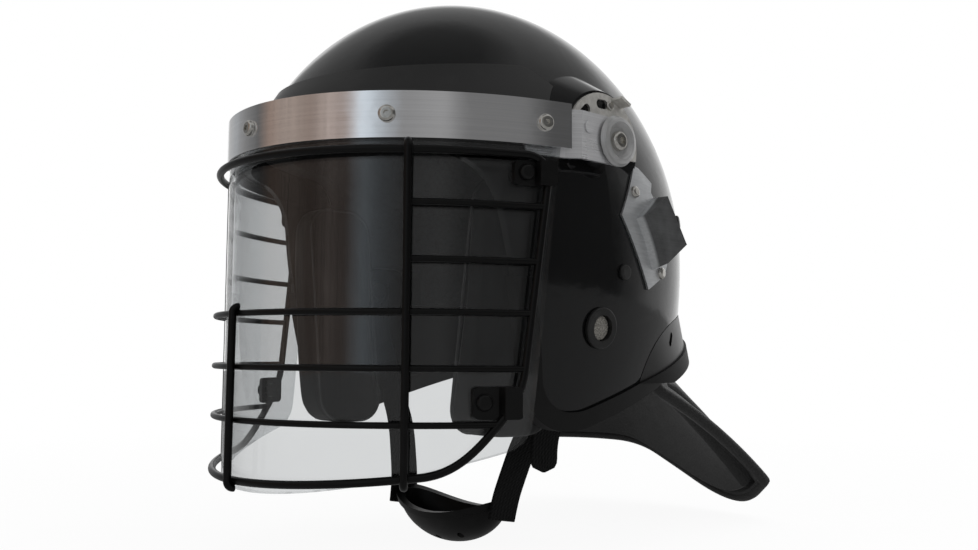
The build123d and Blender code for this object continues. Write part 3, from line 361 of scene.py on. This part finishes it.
def grained_leather():
    """Black grained leather, creased and rubbed."""
    finish = Finish("neck_leather")
    place = finish.place()
    drift = finish.node("TexNoise", {}, {"Vector": place, "Scale": 60.0}, output="Color")
    drift = finish.node("VectorMath", {"operation": "SCALE"}, {0: drift, "Scale": 0.004})
    bent = finish.node("VectorMath", {"operation": "ADD"}, {0: place, 1: drift})
    pebble = finish.mask(finish.cells(520, "DISTANCE_TO_EDGE", bent), 0.0, 0.16)
    crease = finish.noise(scale=32, detail=6, roughness=0.62)
    rub = finish.mask(crease, 0.5, 0.75)
    colour = finish.blend(pebble, grey(0.003), grey(0.007))
    return finish.done(finish.surface(
        Base_Color=finish.blend(rub * 0.5, colour, (0.014, 0.0137, 0.0137, 1)),
        Roughness=finish.range(crease, 0.34, 0.52) + (1 - pebble) * 0.12,
        IOR=plastic_ior,
        Normal=finish.bump(pebble * 0.6 + crease * 0.8, strength=0.35, distance=0.0007),
    ))


# Brush lines along the level strip of the band and arms
strip_brushed = (4, 4, 1500)

shell_black = shell_gloss()
panel_black = panel_satin()
trim_rubber = rubber("trim_rubber", level=0.002, roughness=0.5)
seal_rubber = rubber("seal_rubber", level=0.005, roughness=0.6)
liner_foam = bead_foam()
vent_foam = open_foam()
vent_black = moulded_black("vent_black", level=0.008, roughness=0.38)
clamp_black = moulded_black("clamp_black", level=0.002, roughness=0.34, shine=0.25)
cup_black = moulded_black("cup_black", level=0.002, roughness=0.42, shine=0.18)
guard_black = moulded_black("guard_black", level=0.0012, roughness=0.30, shine=0.2)
plate_zinc = metal(
    "plate_zinc", colour=(0.62, 0.61, 0.58), worn=(0.38, 0.37, 0.35), roughness=0.30,
    brushed=(260, 260, 260), metallic=0.6,
)
# The bracket's raised parts carry a painted dark reflection of the room
bracket_steel = metal(
    "bracket_steel", colour=(0.52, 0.53, 0.54), worn=(0.38, 0.39, 0.40), roughness=0.34,
    brushed=(600, 30, 900), depth=0.08, metallic=0.8, painted_dark_above=0.004,
)
pivot_steel = metal(
    "pivot_steel", colour=(0.52, 0.52, 0.52), worn=(0.34, 0.34, 0.34), roughness=0.28,
    brushed=(900, 60, 60), metallic=0.75,
)
fastener_steel = metal(
    "fastener_steel", colour=(0.78, 0.77, 0.74), worn=(0.50, 0.48, 0.44), roughness=0.14,
    brushed=(400, 400, 400), depth=0.05,
)
band_steel = metal(
    "band_steel", colour=(0.97, 0.97, 0.98), worn=(0.88, 0.88, 0.89), roughness=0.09,
    brushed=strip_brushed, depth=0.012,
)
arm_steel = metal(
    "arm_steel", colour=(0.62, 0.62, 0.63), worn=(0.46, 0.46, 0.47), roughness=0.26,
    brushed=strip_brushed, depth=0.04, metallic=0.6,
)
lens_clear = clear_lens()
strap_webbing = webbing()
pad_knit = brushed_knit("pad_fabric", level=0.006)
# Vinyl piping: really glossy, and its grey, paler than the cloth, is partly a painted highlight for the
# reflection along it
piping_vinyl_painted_highlight = moulded_black("pad_piping_painted_highlight", level=0.03, roughness=0.22, shine=0.5)
neck_leather = grained_leather()

dress = {
    shell_black: ["shell"],
    panel_black: ["brow_panel", "rear_skirt"],
    trim_rubber: ["edge_trim"],
    seal_rubber: ["visor_seal"],
    liner_foam: ["impact_liner"],
    vent_black: ["ear_vent_rings", "shell_rivets", "neck_guard_snaps", "strap_anchors"],
    plate_zinc: ["detent_plate_left", "detent_plate_right"],
    bracket_steel: ["mask_bracket_left", "mask_bracket_right"],
    pivot_steel: ["pivot_caps", "pivot_bushings"],
    fastener_steel: [
        "pivot_bolts", "pivot_nuts", "bracket_screws", "bracket_nuts", "detent_rivets", "band_bolts",
        "band_nuts",
    ],
    lens_clear: ["visor_lens"],
    band_steel: ["visor_band"],
    arm_steel: ["visor_arm_left", "visor_arm_right", "detent_plungers"],
    guard_black: [
        "guard_frame", "guard_rail_upper", "guard_rail_middle", "guard_rail_lower",
        "side_rails_left", "side_rails_right", "guard_uprights",
    ],
    clamp_black: ["guard_clamps", "clamp_bolts"],
    cup_black: ["chin_cup", "strap_buckle"],
}


def cover(piece, material):
    piece.data.materials.clear()
    piece.data.materials.append(material)


for material, names in dress.items():
    for name in names:
        cover(nodes[name], material)


# Shaping tools

def pick(piece):
    """Leaves one piece selected and active."""
    bpy.ops.object.select_all(action="DESELECT")
    piece.select_set(True)
    bpy.context.view_layer.objects.active = piece


def settle(piece):
    """Brings a piece's place, turn and scale into its mesh."""
    pick(piece)
    bpy.ops.object.transform_apply(location=True, rotation=True, scale=True)


def start(name, primitive, **settings):
    """Adds a primitive to shape a piece from."""
    bpy.ops.object.select_all(action="DESELECT")
    primitive(**settings)
    piece = bpy.context.object
    piece.name = piece.data.name = name
    settle(piece)
    return piece


def edit(piece, choose, mode="EDGE"):
    """Opens a piece for editing with the chosen edges or faces selected."""
    pick(piece)
    bpy.ops.object.mode_set(mode="EDIT")
    bpy.ops.mesh.select_mode(type=mode)
    bpy.ops.mesh.select_all(action="DESELECT")
    mesh = bmesh.from_edit_mesh(piece.data)
    for part in {"EDGE": mesh.edges, "FACE": mesh.faces}[mode]:
        part.select_set(bool(choose(part)))
    mesh.select_flush_mode()
    bmesh.update_edit_mesh(piece.data)


def close_edit():
    bpy.ops.object.mode_set(mode="OBJECT")


def modify(piece, kind, **settings):
    """Adds a modifier, sets it up and applies it."""
    pick(piece)
    modifier = piece.modifiers.new(kind.lower(), kind)
    for key, value in settings.items():
        setattr(modifier, key, value)
    bpy.ops.object.modifier_apply(modifier=modifier.name)


def move_points(piece, place):
    """Puts every point of a piece where place(point) says."""
    for vertex in piece.data.vertices:
        vertex.co = place(vertex.co)
    piece.data.update()


def face_outwards(piece):
    weld = 0.00002
    edit(piece, lambda face: True, "FACE")
    bpy.ops.mesh.remove_doubles(threshold=weld)
    bpy.ops.mesh.normals_make_consistent(inside=False)
    close_edit()


def smooth(piece, angle=50):
    pick(piece)
    bpy.ops.object.shade_smooth_by_angle(angle=radians(angle))


def seat(piece, body, material, slot, *replaced):
    """Dresses a finished piece, sets it on its body and lets it stand for its CAD nodes."""
    settle(piece)
    cover(piece, material)
    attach(piece, body)
    if replaced:
        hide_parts(*replaced)


def mirror_copy(piece, name):
    """The same piece on the wearer's other side, with its own mesh."""
    twin = piece.copy()
    twin.data = piece.data.copy()
    twin.name = twin.data.name = name
    bpy.context.collection.objects.link(twin)
    twin.data.transform(Matrix.Scale(-1, 4, (1, 0, 0)))
    face_outwards(twin)
    return twin


def inflate(piece, swell):
    """Blows a closed cover up like stuffing does, with every point held to within swell of its place."""
    frames = 20
    rest = [vertex.co.copy() for vertex in piece.data.vertices]
    pick(piece)
    cloth = piece.modifiers.new("cloth", "CLOTH")
    cloth.settings.use_pressure = True
    cloth.settings.uniform_pressure_force = 4.0
    cloth.settings.effector_weights.gravity = 0.0
    cloth.settings.quality = 6
    cloth.settings.mass = 0.2
    cloth.settings.tension_stiffness = cloth.settings.compression_stiffness = 12
    cloth.settings.bending_stiffness = 0.4
    cloth.collision_settings.use_collision = False
    cloth.point_cache.frame_start, cloth.point_cache.frame_end = 1, frames
    for step in range(1, frames + 1):
        bpy.context.scene.frame_set(step)
    bpy.ops.object.modifier_apply(modifier="cloth")
    bpy.context.scene.frame_set(1)
    for vertex, before in zip(piece.data.vertices, rest):
        shift = vertex.co - before
        if shift.length > swell:
            vertex.co = before + shift * (swell / shift.length)
    piece.data.update()


def tube(name, points, radius, closed=False):
    """A round cord of piping along a line of points."""
    data = bpy.data.curves.new(name, "CURVE")
    data.dimensions = "3D"
    spline = data.splines.new("POLY")
    spline.points.add(len(points) - 1)
    for spot, point in zip(spline.points, points):
        spot.co = (*point, 1)
    spline.use_cyclic_u = closed
    data.bevel_depth = radius
    data.bevel_resolution = 4
    data.use_fill_caps = not closed
    cord = bpy.data.objects.new(name, data)
    bpy.context.collection.objects.link(cord)
    pick(cord)
    bpy.ops.object.convert(target="MESH")
    cord = bpy.context.object
    smooth(cord, 60)
    return cord


# Surfaces of the shell, grown outwards by grow

def shell_x(y, z, grow=0.0):
    across, long, up = shell_radii(z, grow)
    return across * sqrt(max(0.0, 1 - (y / long) ** 2 - (z / up) ** 2))


def shell_y(x, z, grow=0.0):
    across, long, up = shell_radii(z, grow)
    return long * sqrt(max(0.0, 1 - (x / across) ** 2 - (z / up) ** 2))


def shell_z(x, y, grow=0.0):
    """Level of the shell's upper half."""
    across, long, up = shell_radii(0, grow)
    return up * sqrt(max(0.0, 1 - (x / across) ** 2 - (y / long) ** 2))


# Comfort pads

cushion_voxel = 0.003
pad_seam = 0.003

# Thin pads lie on the liner, whose inner face is this deep under the shell's outside
liner_face = 0.0198
thin_pad_depth = 0.0066
thin_pad_swell = 0.0012
channel_depth = 0.0035


def flat_cushion(name, width, height, depth, corner, swell, crown_share=0.35):
    """A stuffed cushion lying flat: its back on Z = 0 and its crowned face towards +Z."""
    back_share, near_share = 0.12, 0.1
    pad = start(
        name, bpy.ops.mesh.primitive_cube_add, size=1, location=(0, 0, depth / 2),
        scale=(width, height, depth),
    )
    rims = (
        (lambda levels: max(levels) - min(levels) > depth / 2, corner, 8),
        (lambda levels: min(levels) > depth * (1 - near_share), depth * crown_share, 4),
        (lambda levels: max(levels) < depth * near_share, depth * back_share, 2),
    )
    for choose, offset, segments in rims:
        edit(pad, lambda edge: choose([vertex.co.z for vertex in edge.verts]))
        bpy.ops.mesh.bevel(offset=offset, segments=segments, affect="EDGES")
        close_edit()
    modify(pad, "REMESH", mode="VOXEL", voxel_size=cushion_voxel)
    inflate(pad, swell)
    modify(pad, "SUBSURF", levels=1, render_levels=1)
    return pad


def dent(distance, width, depth):
    """Depth of a sewn channel at a distance from its line."""
    return depth * max(0.0, 1 - (distance / width) ** 2) ** 2


def thin_pad_face(point, from_seam, channel):
    """Depth under the shell's outside of a thin pad's point, drawn in along its sewn channel."""
    sewn = dent(from_seam, channel, channel_depth) * (point.z / thin_pad_depth)
    return liner_face + max(0.0, point.z) - sewn


def lay_thin_pad(pad, lay, node):
    """Sets a thin pad on the liner."""
    move_points(pad, lay)
    face_outwards(pad)
    smooth(pad)
    seat(pad, "helmet", pad_knit, "pad_fabric", node)


def make_crown_pad():
    """A round pad with one sewn ring."""
    across, corner, seam_ring, channel = 0.098, 0.046, 0.022, 0.004
    pad = flat_cushion("crown_cushion", across, across, thin_pad_depth, corner, thin_pad_swell)

    def lay(point):
        ring = sqrt(point.x**2 + point.y**2)
        depth = thin_pad_face(point, ring - seam_ring, channel)
        return Vector((point.x, point.y, shell_z(point.x, point.y, -depth)))

    lay_thin_pad(pad, lay, "crown_pad")


def make_band_cushion(name, node, width, low, high, facing):
    """The cushion across the brow or the nape, sewn into three cells."""
    corner_share, channel = 0.36, 0.0035
    height, middle = high - low, (low + high) / 2
    pad = flat_cushion(
        name, width - pad_seam, height - pad_seam, thin_pad_depth, height * corner_share, thin_pad_swell
    )

    def lay(point):
        depth = thin_pad_face(point, abs(point.x) - width / 6, channel)
        level = middle + point.y
        return Vector((point.x, facing * shell_y(point.x, level, -depth), level))

    lay_thin_pad(pad, lay, node)


def ease(share):
    """A soft step from 0 to 1."""
    share = min(1.0, max(0.0, share))
    return share * share * (3 - 2 * share)


def rounded_outline(width, height, corner):
    """Points round a rounded rectangle that lies flat."""
    steps = 8
    points = []
    for quarter, (across, up) in enumerate(((1, 1), (-1, 1), (-1, -1), (1, -1))):
        middle = Vector((across * (width / 2 - corner), up * (height / 2 - corner), 0))
        for step in range(steps + 1):
            turn = radians(90 * (quarter + step / steps))
            points.append(middle + Vector((cos(turn), sin(turn), 0)) * corner)
    return points


def make_cheek_pads():
    """Tall cheek cushions: their backs lie on the shell and liner, their inner faces lean in."""
    front, back, top, foot = -0.067, -0.018, 0.038, -0.1005
    width, height = back - front - pad_seam, top - foot - pad_seam
    depth, corner, swell, crown_share = 0.040, 0.016, 0.0022, 0.11
    # The shell's inner face, and the liner that lies on it behind and above these edges
    shell_face, liner_thickness = 0.0064, 0.0137
    liner_front, liner_foot, front_step, foot_step = -0.034, -0.028, 0.006, 0.008
    inner_face, lean, belly_rise = 0.0682, tan(radians(8)), 0.0022
    pad = flat_cushion("cheek_cushion_left", width, height, depth, corner, swell, crown_share)

    def lay(point):
        y = (front + back) / 2 + point.x
        z = (top + foot) / 2 + point.y
        on_liner = ease((y - liner_front) / front_step) * ease((z - liner_foot) / foot_step)
        outer = shell_x(y, z, -shell_face - liner_thickness * on_liner)
        inner = inner_face + lean * point.y
        belly = belly_rise * cos(pi * point.x / width) * cos(pi * point.y / height)
        return Vector((outer + (inner - belly - outer) * point.z / depth, y, z))

    move_points(pad, lay)
    face_outwards(pad)
    smooth(pad)

    piping_radius, piping_inset, piping_share, steps = 0.0011, 0.0014, 0.968, 4
    edge = rounded_outline(width - 2 * piping_inset, height - 2 * piping_inset, corner - piping_inset)
    line = []
    for near, far in zip(edge, edge[1:] + edge[:1]):
        for step in range(steps):
            line.append(lay(near.lerp(far, step / steps) + Vector((0, 0, depth * piping_share))))
    piping = tube("cheek_piping_left", line, piping_radius, closed=True)
    other_pad = mirror_copy(pad, "cheek_cushion_right")
    for piece, node in ((pad, "cheek_pad_left"), (other_pad, "cheek_pad_right")):
        seat(piece, "helmet", pad_knit, "pad_fabric", node)
    # The piping takes the pale vinyl with its painted highlight
    for piece in (piping, mirror_copy(piping, "cheek_piping_right")):
        seat(piece, "helmet", piping_vinyl_painted_highlight, "pad_fabric")


# Ear foams

def make_ear_foams():
    """Open foam discs in the ear vents, soft at the rim."""
    radius, thickness, rim, round_off = 0.0066, 0.0026, 0.0012, 0.0006
    ring_step = 0.0016
    y, z = -0.007, -0.0425
    across, long, up = shell_radii(z, 0.0)
    vent = Vector((shell_x(y, z), y, z))
    normal = Vector((vent.x / across**2, vent.y / long**2, vent.z / up**2)).normalized()
    foam = start(
        "ear_foam_left", bpy.ops.mesh.primitive_cylinder_add, vertices=48, radius=radius,
        depth=thickness, location=vent - normal * (thickness / 2),
        rotation=normal.to_track_quat("Z", "Y").to_euler(),
    )
    edit(foam, lambda face: abs(face.normal.dot(normal)) > 0.9, "FACE")
    for inset in (rim, ring_step, ring_step):
        bpy.ops.mesh.inset(thickness=inset)
    close_edit()
    modify(
        foam, "BEVEL", width=round_off, segments=3, limit_method="ANGLE", angle_limit=radians(60)
    )
    smooth(foam)
    twin = mirror_copy(foam, "ear_foam_right")
    seat(foam, "helmet", vent_foam, "vent_foam", "ear_vent_foams")
    seat(twin, "helmet", vent_foam, "vent_foam")


# Webbing

strap_width = 0.020
strap_thickness = 0.0017

# The left strap's free run in the CAD, on which the buckle sits, and its route as it hangs
strap_knee = Vector((0.107862, 0.008369, -0.022))
strap_foot = Vector((0.0462, -0.0110, -0.1360))
strap_run = strap_foot - strap_knee
strap_across = Vector((0, -strap_run.z, strap_run.y)).normalized()
strap_route = [
    (0.108496, 0.011257, -0.005), strap_knee, (0.0870, 0.0018, -0.061),
    (0.0590, -0.0050, -0.098), (0.0475, -0.0095, -0.128), (0.0453, -0.013209, -0.149),
]
buckle_share = 0.45


def rounded_route(points, turns=3):
    """Cuts a route's corners again and again until it bends softly."""
    cut_share = 0.25
    route = [Vector(point) for point in points]
    for _ in range(turns):
        softer = [route[0]]
        for near, far in zip(route, route[1:]):
            softer += [near.lerp(far, cut_share), near.lerp(far, 1 - cut_share)]
        route = softer + [route[-1]]
    return route


def route_length(route):
    return sum((far - near).length for near, far in zip(route, route[1:]))


def along(route, distance):
    """The place and direction at a distance along a route."""
    left = distance
    for near, far in zip(route, route[1:]):
        step = (far - near).length
        if left <= step:
            return near.lerp(far, left / step), (far - near).normalized()
        left -= step
    return Vector(route[-1]), (route[-1] - route[-2]).normalized()


def make_ribbon(name, points, rounded_end=0.0):
    """Webbing along a flat route, woven on its own map, its last stretch cut round if asked."""
    pitch, tip_share, ripple, ripple_rate = 0.0025, 0.02, 0.0004, 130
    route = rounded_route(points)
    length = route_length(route)
    strap = start(
        name, bpy.ops.mesh.primitive_grid_add, x_subdivisions=10,
        y_subdivisions=max(8, int(length / pitch)), size=1,
    )
    uv = strap.data.uv_layers.active
    for loop, corner in zip(strap.data.loops, uv.data):
        flat = strap.data.vertices[loop.vertex_index].co
        corner.uv = (flat.x + 0.5, (flat.y + 0.5) * length / strap_width)

    def lay(flat):
        run = (flat.y + 0.5) * length
        middle, way = along(route, run)
        across = (strap_across - way * way.dot(strap_across)).normalized()
        narrow = 1.0
        if rounded_end and run > length - rounded_end:
            rest = (length - run) / rounded_end
            narrow = tip_share + (1 - tip_share) * sqrt(max(0.0, 1 - (1 - rest) ** 2))
        wave = across.cross(way).normalized() * (ripple * sin(run * ripple_rate))
        return middle + across * (flat.x * strap_width * narrow) + wave

    move_points(strap, lay)
    modify(strap, "SOLIDIFY", thickness=strap_thickness, offset=0.0, use_even_offset=True)
    modify(
        strap, "BEVEL", width=strap_thickness * 0.3, segments=2, limit_method="ANGLE",
        angle_limit=radians(50),
    )
    smooth(strap, 40)
    return strap


def make_straps():
    """Both straps, and the loose end that comes out of the buckle and hangs outside the left one."""
    strap = make_ribbon("strap_left", strap_route)
    twin = mirror_copy(strap, "strap_right")
    seat(strap, "chin_strap", strap_webbing, "strap_webbing", "chin_strap_left")
    seat(twin, "chin_strap", strap_webbing, "strap_webbing", "chin_strap_right")

    # The tail lies one layer outside the strap, from just above the buckle to its rounded end
    layer, above, below, round_cut = 0.0021, 0.007, 0.012, 0.007
    way = strap_run.normalized()
    in_buckle = strap_knee.lerp(strap_foot, buckle_share) + way.cross(strap_across) * layer
    tail_route = [
        in_buckle - way * above, in_buckle + way * below, (0.0690, -0.0045, -0.1010),
        (0.0712, -0.0060, -0.1205),
    ]
    tail = make_ribbon("strap_end", tail_route, rounded_end=round_cut)
    seat(tail, "chin_strap", strap_webbing, "strap_webbing", "strap_tail")


# Neck guard

# The shell's rear edge rises backwards in a straight line from this place
shell_edge_y, shell_edge_z, shell_edge_slope = -0.012, -0.096, 0.296

# The guard's stem stands inside the shell, and bends into the flap under the shell's edge
stem_half_width = 0.084
stem_depth = 0.0068
stem_rise = 0.022
stem_length = 0.028
stem_half_thickness = 0.0025
neck_turn = 0.012
neck_belly = 0.016

# The flap's mean half width and the guard's whole length, for distances from its outline
neck_half_width, neck_length = 0.085, 0.150

# The guard's hem from the wearer's right to the left, where the leather hangs lower
neck_hem = rounded_route([
    (-0.088, 0.158, -0.116), (-0.060, 0.182, -0.116), (-0.026, 0.198, -0.118),
    (0.004, 0.203, -0.134), (0.037, 0.205, -0.151), (0.063, 0.203, -0.155), (0.085, 0.190, -0.139),
], turns=4)
neck_hem_length = route_length(neck_hem)


def neck_edge_level(x):
    """Level of the shell's rear edge at a place across the nape."""
    level = -0.05
    # Each turn brings the level closer to where the edge's line meets the shell
    for _ in range(8):
        level = shell_edge_z + shell_edge_slope * (shell_y(x, level) - shell_edge_y)
    return level


@lru_cache(maxsize=None)
def neck_ends(share):
    """The stem's top, the bend under the shell's edge and the hem, at a share of the way across."""
    probe = 0.002
    x = stem_half_width * share
    edge = neck_edge_level(x)
    y = shell_y(x, edge, -stem_depth)
    # Where the nape curves away, the stem's thickness takes up more of Y
    slant = sqrt(1 + ((shell_y(abs(x) - probe, edge, -stem_depth) - y) / probe) ** 2)
    stem = Vector((x, y - slant * stem_half_thickness, edge + stem_rise))
    hem = along(neck_hem, (share + 1) / 2 * neck_hem_length)[0]
    return stem, stem - Vector((0, 0, stem_length)), hem


def neck_middle(share, run):
    """A place on the neck guard's middle: share across, run from the stem's top to the hem."""
    stem, bend, hem = neck_ends(share)
    rise, fall = (bend - stem).length, (hem - bend).length
    place = run * (rise + fall)
    down, out = (bend - stem).normalized(), (hem - bend).normalized()
    if place < rise - neck_turn:
        return stem + down * place
    if place > rise + neck_turn:
        belly = Vector((1, 0, 0)).cross(out)
        flap = (place - rise - neck_turn) / (fall - neck_turn)
        return bend + out * (place - rise) + belly * (neck_belly * flap * (1 - flap))
    turned = (place - rise + neck_turn) / (2 * neck_turn)
    before, after = bend - down * neck_turn, bend + out * neck_turn
    return before.lerp(bend, turned).lerp(bend.lerp(after, turned), turned)


def neck_point(share, run, out=0.0):
    """A place on the neck guard, out from its middle towards the outside."""
    step = 0.004
    across = neck_middle(min(1, share + step), run) - neck_middle(max(-1, share - step), run)
    down = neck_middle(share, min(1, run + step)) - neck_middle(share, max(0, run - step))
    return neck_middle(share, run) + across.cross(down).normalized() * out


def crowded(share):
    """Draws evenly spaced places together towards 1, where the seams run."""
    reach = radians(80)
    return sin(share * reach) / sin(reach)


def make_neck_guard():
    """Leather over foam with a raised panel inside a stitched groove, and piping round its rim."""
    cells_across, cells_down = 120, 100
    skin, panel_inside, panel_outside = 0.0024, 0.0058, 0.0016
    panel_margin, panel_slope, panel_top, top_slope = 0.0078, 0.0045, 0.24, 0.06
    groove_margin, groove_width, groove_depth = 0.0074, 0.0024, 0.0022
    guard = start(
        "neck_guard_leather", bpy.ops.mesh.primitive_grid_add, x_subdivisions=cells_across,
        y_subdivisions=cells_down, size=2,
    )
    flats = [(crowded(vertex.co.x), crowded((vertex.co.y + 1) / 2)) for vertex in guard.data.vertices]
    # This gives the sheet its second side and its rim, and the loop sets the sides apart
    modify(guard, "SOLIDIFY", thickness=2 * skin, offset=0.0, use_even_offset=False)
    for vertex in guard.data.vertices:
        share, run = flats[vertex.index % len(flats)]
        edge = min((1 - abs(share)) * neck_half_width, (1 - run) * neck_length)
        raised = ease((edge - panel_margin) / panel_slope) * ease((run - panel_top) / top_slope)
        groove = dent(edge - groove_margin, groove_width, groove_depth) if run > panel_top else 0.0
        if vertex.index < len(flats):
            out = -(skin + panel_inside * raised - groove)
        else:
            out = skin + panel_outside * raised - groove
        vertex.co = neck_point(share, run, out)
    guard.data.update()
    face_outwards(guard)
    smooth(guard, 60)
    seat(guard, "helmet", neck_leather, "neck_leather", "neck_guard")

    piping_radius, piping_top, steps = 0.0038, 0.16, 40
    runs = [piping_top + (1 - piping_top) * step / steps for step in range(steps + 1)]
    rim = [(-1, run) for run in runs]
    rim += [(step / steps - 1, 1) for step in range(1, 2 * steps)]
    rim += [(1, run) for run in reversed(runs)]
    piping = tube("neck_guard_piping", [neck_point(share, run) for share, run in rim], piping_radius)
    seat(piping, "helmet", neck_leather, "neck_leather")


make_crown_pad()
make_band_cushion("brow_cushion", "brow_pad", width=0.112, low=0.064, high=0.094, facing=-1)
make_band_cushion("nape_cushion", "nape_pad", width=0.104, low=-0.016, high=0.024, facing=1)
make_cheek_pads()
make_ear_foams()
make_straps()
make_neck_guard()


# Studio: pale floor, white surroundings, a room for the mirrors, and three soft lamps

def ray(finish, *kinds):
    """1 for the rays of any of these kinds."""
    signals = [finish.node("LightPath", output=f"Is {kind} Ray") for kind in kinds]
    return finish.sum("MINIMUM", sum(signals[1:], signals[0]), 1.0)


def make_floor():
    """Paper that catches the shadow near the object and glows white further out."""
    floor_gap, floor_radius = 0.0005, 6.0
    finish = Finish("floor_pale")
    reach = finish.node("VectorMath", {"operation": "LENGTH"}, {0: finish.place()}, output="Value")
    paper = finish.node("BsdfDiffuse", {}, {"Color": grey(0.9)})
    glow = finish.node("Emission", {}, {"Color": grey(1.0), "Strength": 1.0})
    dim = finish.node("Emission", {}, {"Color": grey(0.3), "Strength": 1.0})
    seen = finish.mix(finish.range(reach, 0.93, 1.0, 0.3, 0.9), paper, glow)
    lit = finish.mix(ray(finish, "Glossy"), paper, dim)
    floor = start(
        "floor", bpy.ops.mesh.primitive_circle_add, vertices=96, radius=floor_radius,
        fill_type="NGON", location=(0, 0, cad_box[0][2] - floor_gap),
    )
    cover(floor, finish.done(finish.mix(ray(finish, "Camera", "Transmission"), lit, seen)))


brick, brick_shade = (0.38, 0.31, 0.27, 1), (0.31, 0.23, 0.19, 1)
curtain_fold = (0.10, 0.08, 0.07, 1)

# The room round the mirrors, by degrees from the front towards the wearer's left
room_colours = (
    (-180, grey(0.70)), (-160, grey(1.0)), (-110, grey(1.0)), (-104, grey(0.47)),
    (-83, (0.34, 0.35, 0.36, 1)), (-72, grey(0.24)), (-51, grey(0.11)), (-40, brick_shade),
    (-29, brick), (-18, (0.37, 0.30, 0.26, 1)), (-8, (0.27, 0.21, 0.18, 1)),
    (3, (0.48, 0.40, 0.36, 1)), (13, (0.38, 0.31, 0.28, 1)), (23, (0.66, 0.73, 0.79, 1)),
    (32, (0.40, 0.43, 0.46, 1)), (42, grey(0.24)), (60, grey(0.30)), (70, grey(0.16)),
    (93, grey(0.16)), (104, grey(0.07)), (142, grey(0.07)), (153, grey(0.30)),
    (165, grey(0.60)), (180, grey(0.70)),
)


def make_world():
    """White for the eye, plain light for the matt finishes, and the room for the mirrors."""
    room = Finish("studio", bpy.data.worlds)
    way = room.node("TexCoord", output="Generated")
    x, y, z = (room.node("SeparateXYZ", {}, {"Vector": way}, output=axis) for axis in "XYZ")
    turn = room.sum("ARCTAN2", x, 0 - y)
    stops = [((degrees + 180) / 360, colour) for degrees, colour in room_colours]
    wall = room.node("ValToRGB", {"stops": stops}, {"Fac": turn / (2 * pi) + 0.5})
    folds = room.node(
        "TexNoise", {"noise_dimensions": "1D"}, {"W": turn * 9.0, "Detail": 3.0, "Roughness": 0.6}
    )
    # A folded curtain hangs before part of the wall, and the ceiling is darkest overhead
    hung = room.mask(turn, -0.9, -0.7) * room.range(turn, 1.0, 0.0, 0.25, 0.3)
    wall = room.blend(hung * room.range(folds, 0.0, 0.7, 0.45, 0.65), wall, curtain_fold)
    wall = room.blend(room.mask(z, 0.5, 0.65), wall, grey(0.42))
    wall = room.blend(room.mask(z, 0.88, 0.96), wall, grey(0.19))
    mirrored = room.node("Background", {}, {"Color": wall})
    plain = room.node("Background", {}, {"Color": grey(0.45)})
    white = room.node("Background", {}, {"Color": grey(1.0)})
    lit = room.mix(ray(room, "Glossy"), plain, mirrored)
    shader = room.mix(ray(room, "Camera", "Transmission"), lit, white)
    bpy.context.scene.world = room.done(shader, "OutputWorld")


def lamp(name, place, size, watts):
    """A soft white lamp that looks at the object's middle and isn't seen in the mirrors."""
    data = bpy.data.lights.new(name, "AREA")
    data.shape = "RECTANGLE"
    data.size, data.size_y = size
    data.energy = watts
    light = bpy.data.objects.new(name, data)
    light.location = place
    light.visible_glossy = False
    light.rotation_euler = (-Vector(place)).to_track_quat("-Z", "Y").to_euler()
    bpy.context.collection.objects.link(light)


def make_camera():
    """The photograph's own view: 978 by 550, from the front left and a little below."""
    photo_width, focal_pixels, sensor_width = 978, 978.12, 36.0
    camera_place = (0.44878, -0.39355, -0.05724)
    tilt, roll, turn = 94.717, -0.384, 47.483
    data = bpy.data.cameras.new("camera")
    data.sensor_width = sensor_width
    data.lens = sensor_width * focal_pixels / photo_width
    data.clip_start, data.clip_end = 0.01, 40
    camera = bpy.data.objects.new("camera", data)
    camera.location = camera_place
    camera.rotation_euler = (radians(tilt), radians(roll), radians(turn))
    bpy.context.collection.objects.link(camera)
    bpy.context.scene.camera = camera


make_floor()
make_world()
lamp("overhead", place=(0.1, 0.1, 1.3), size=(1.4, 1.4), watts=9)
lamp("window", place=(1.3, 0.5, 0.5), size=(0.9, 1.2), watts=8)
lamp("front", place=(-0.5, -1.5, 0.5), size=(1.0, 1.0), watts=8)
make_camera()
bpy.context.scene.view_settings.view_transform = "Standard"
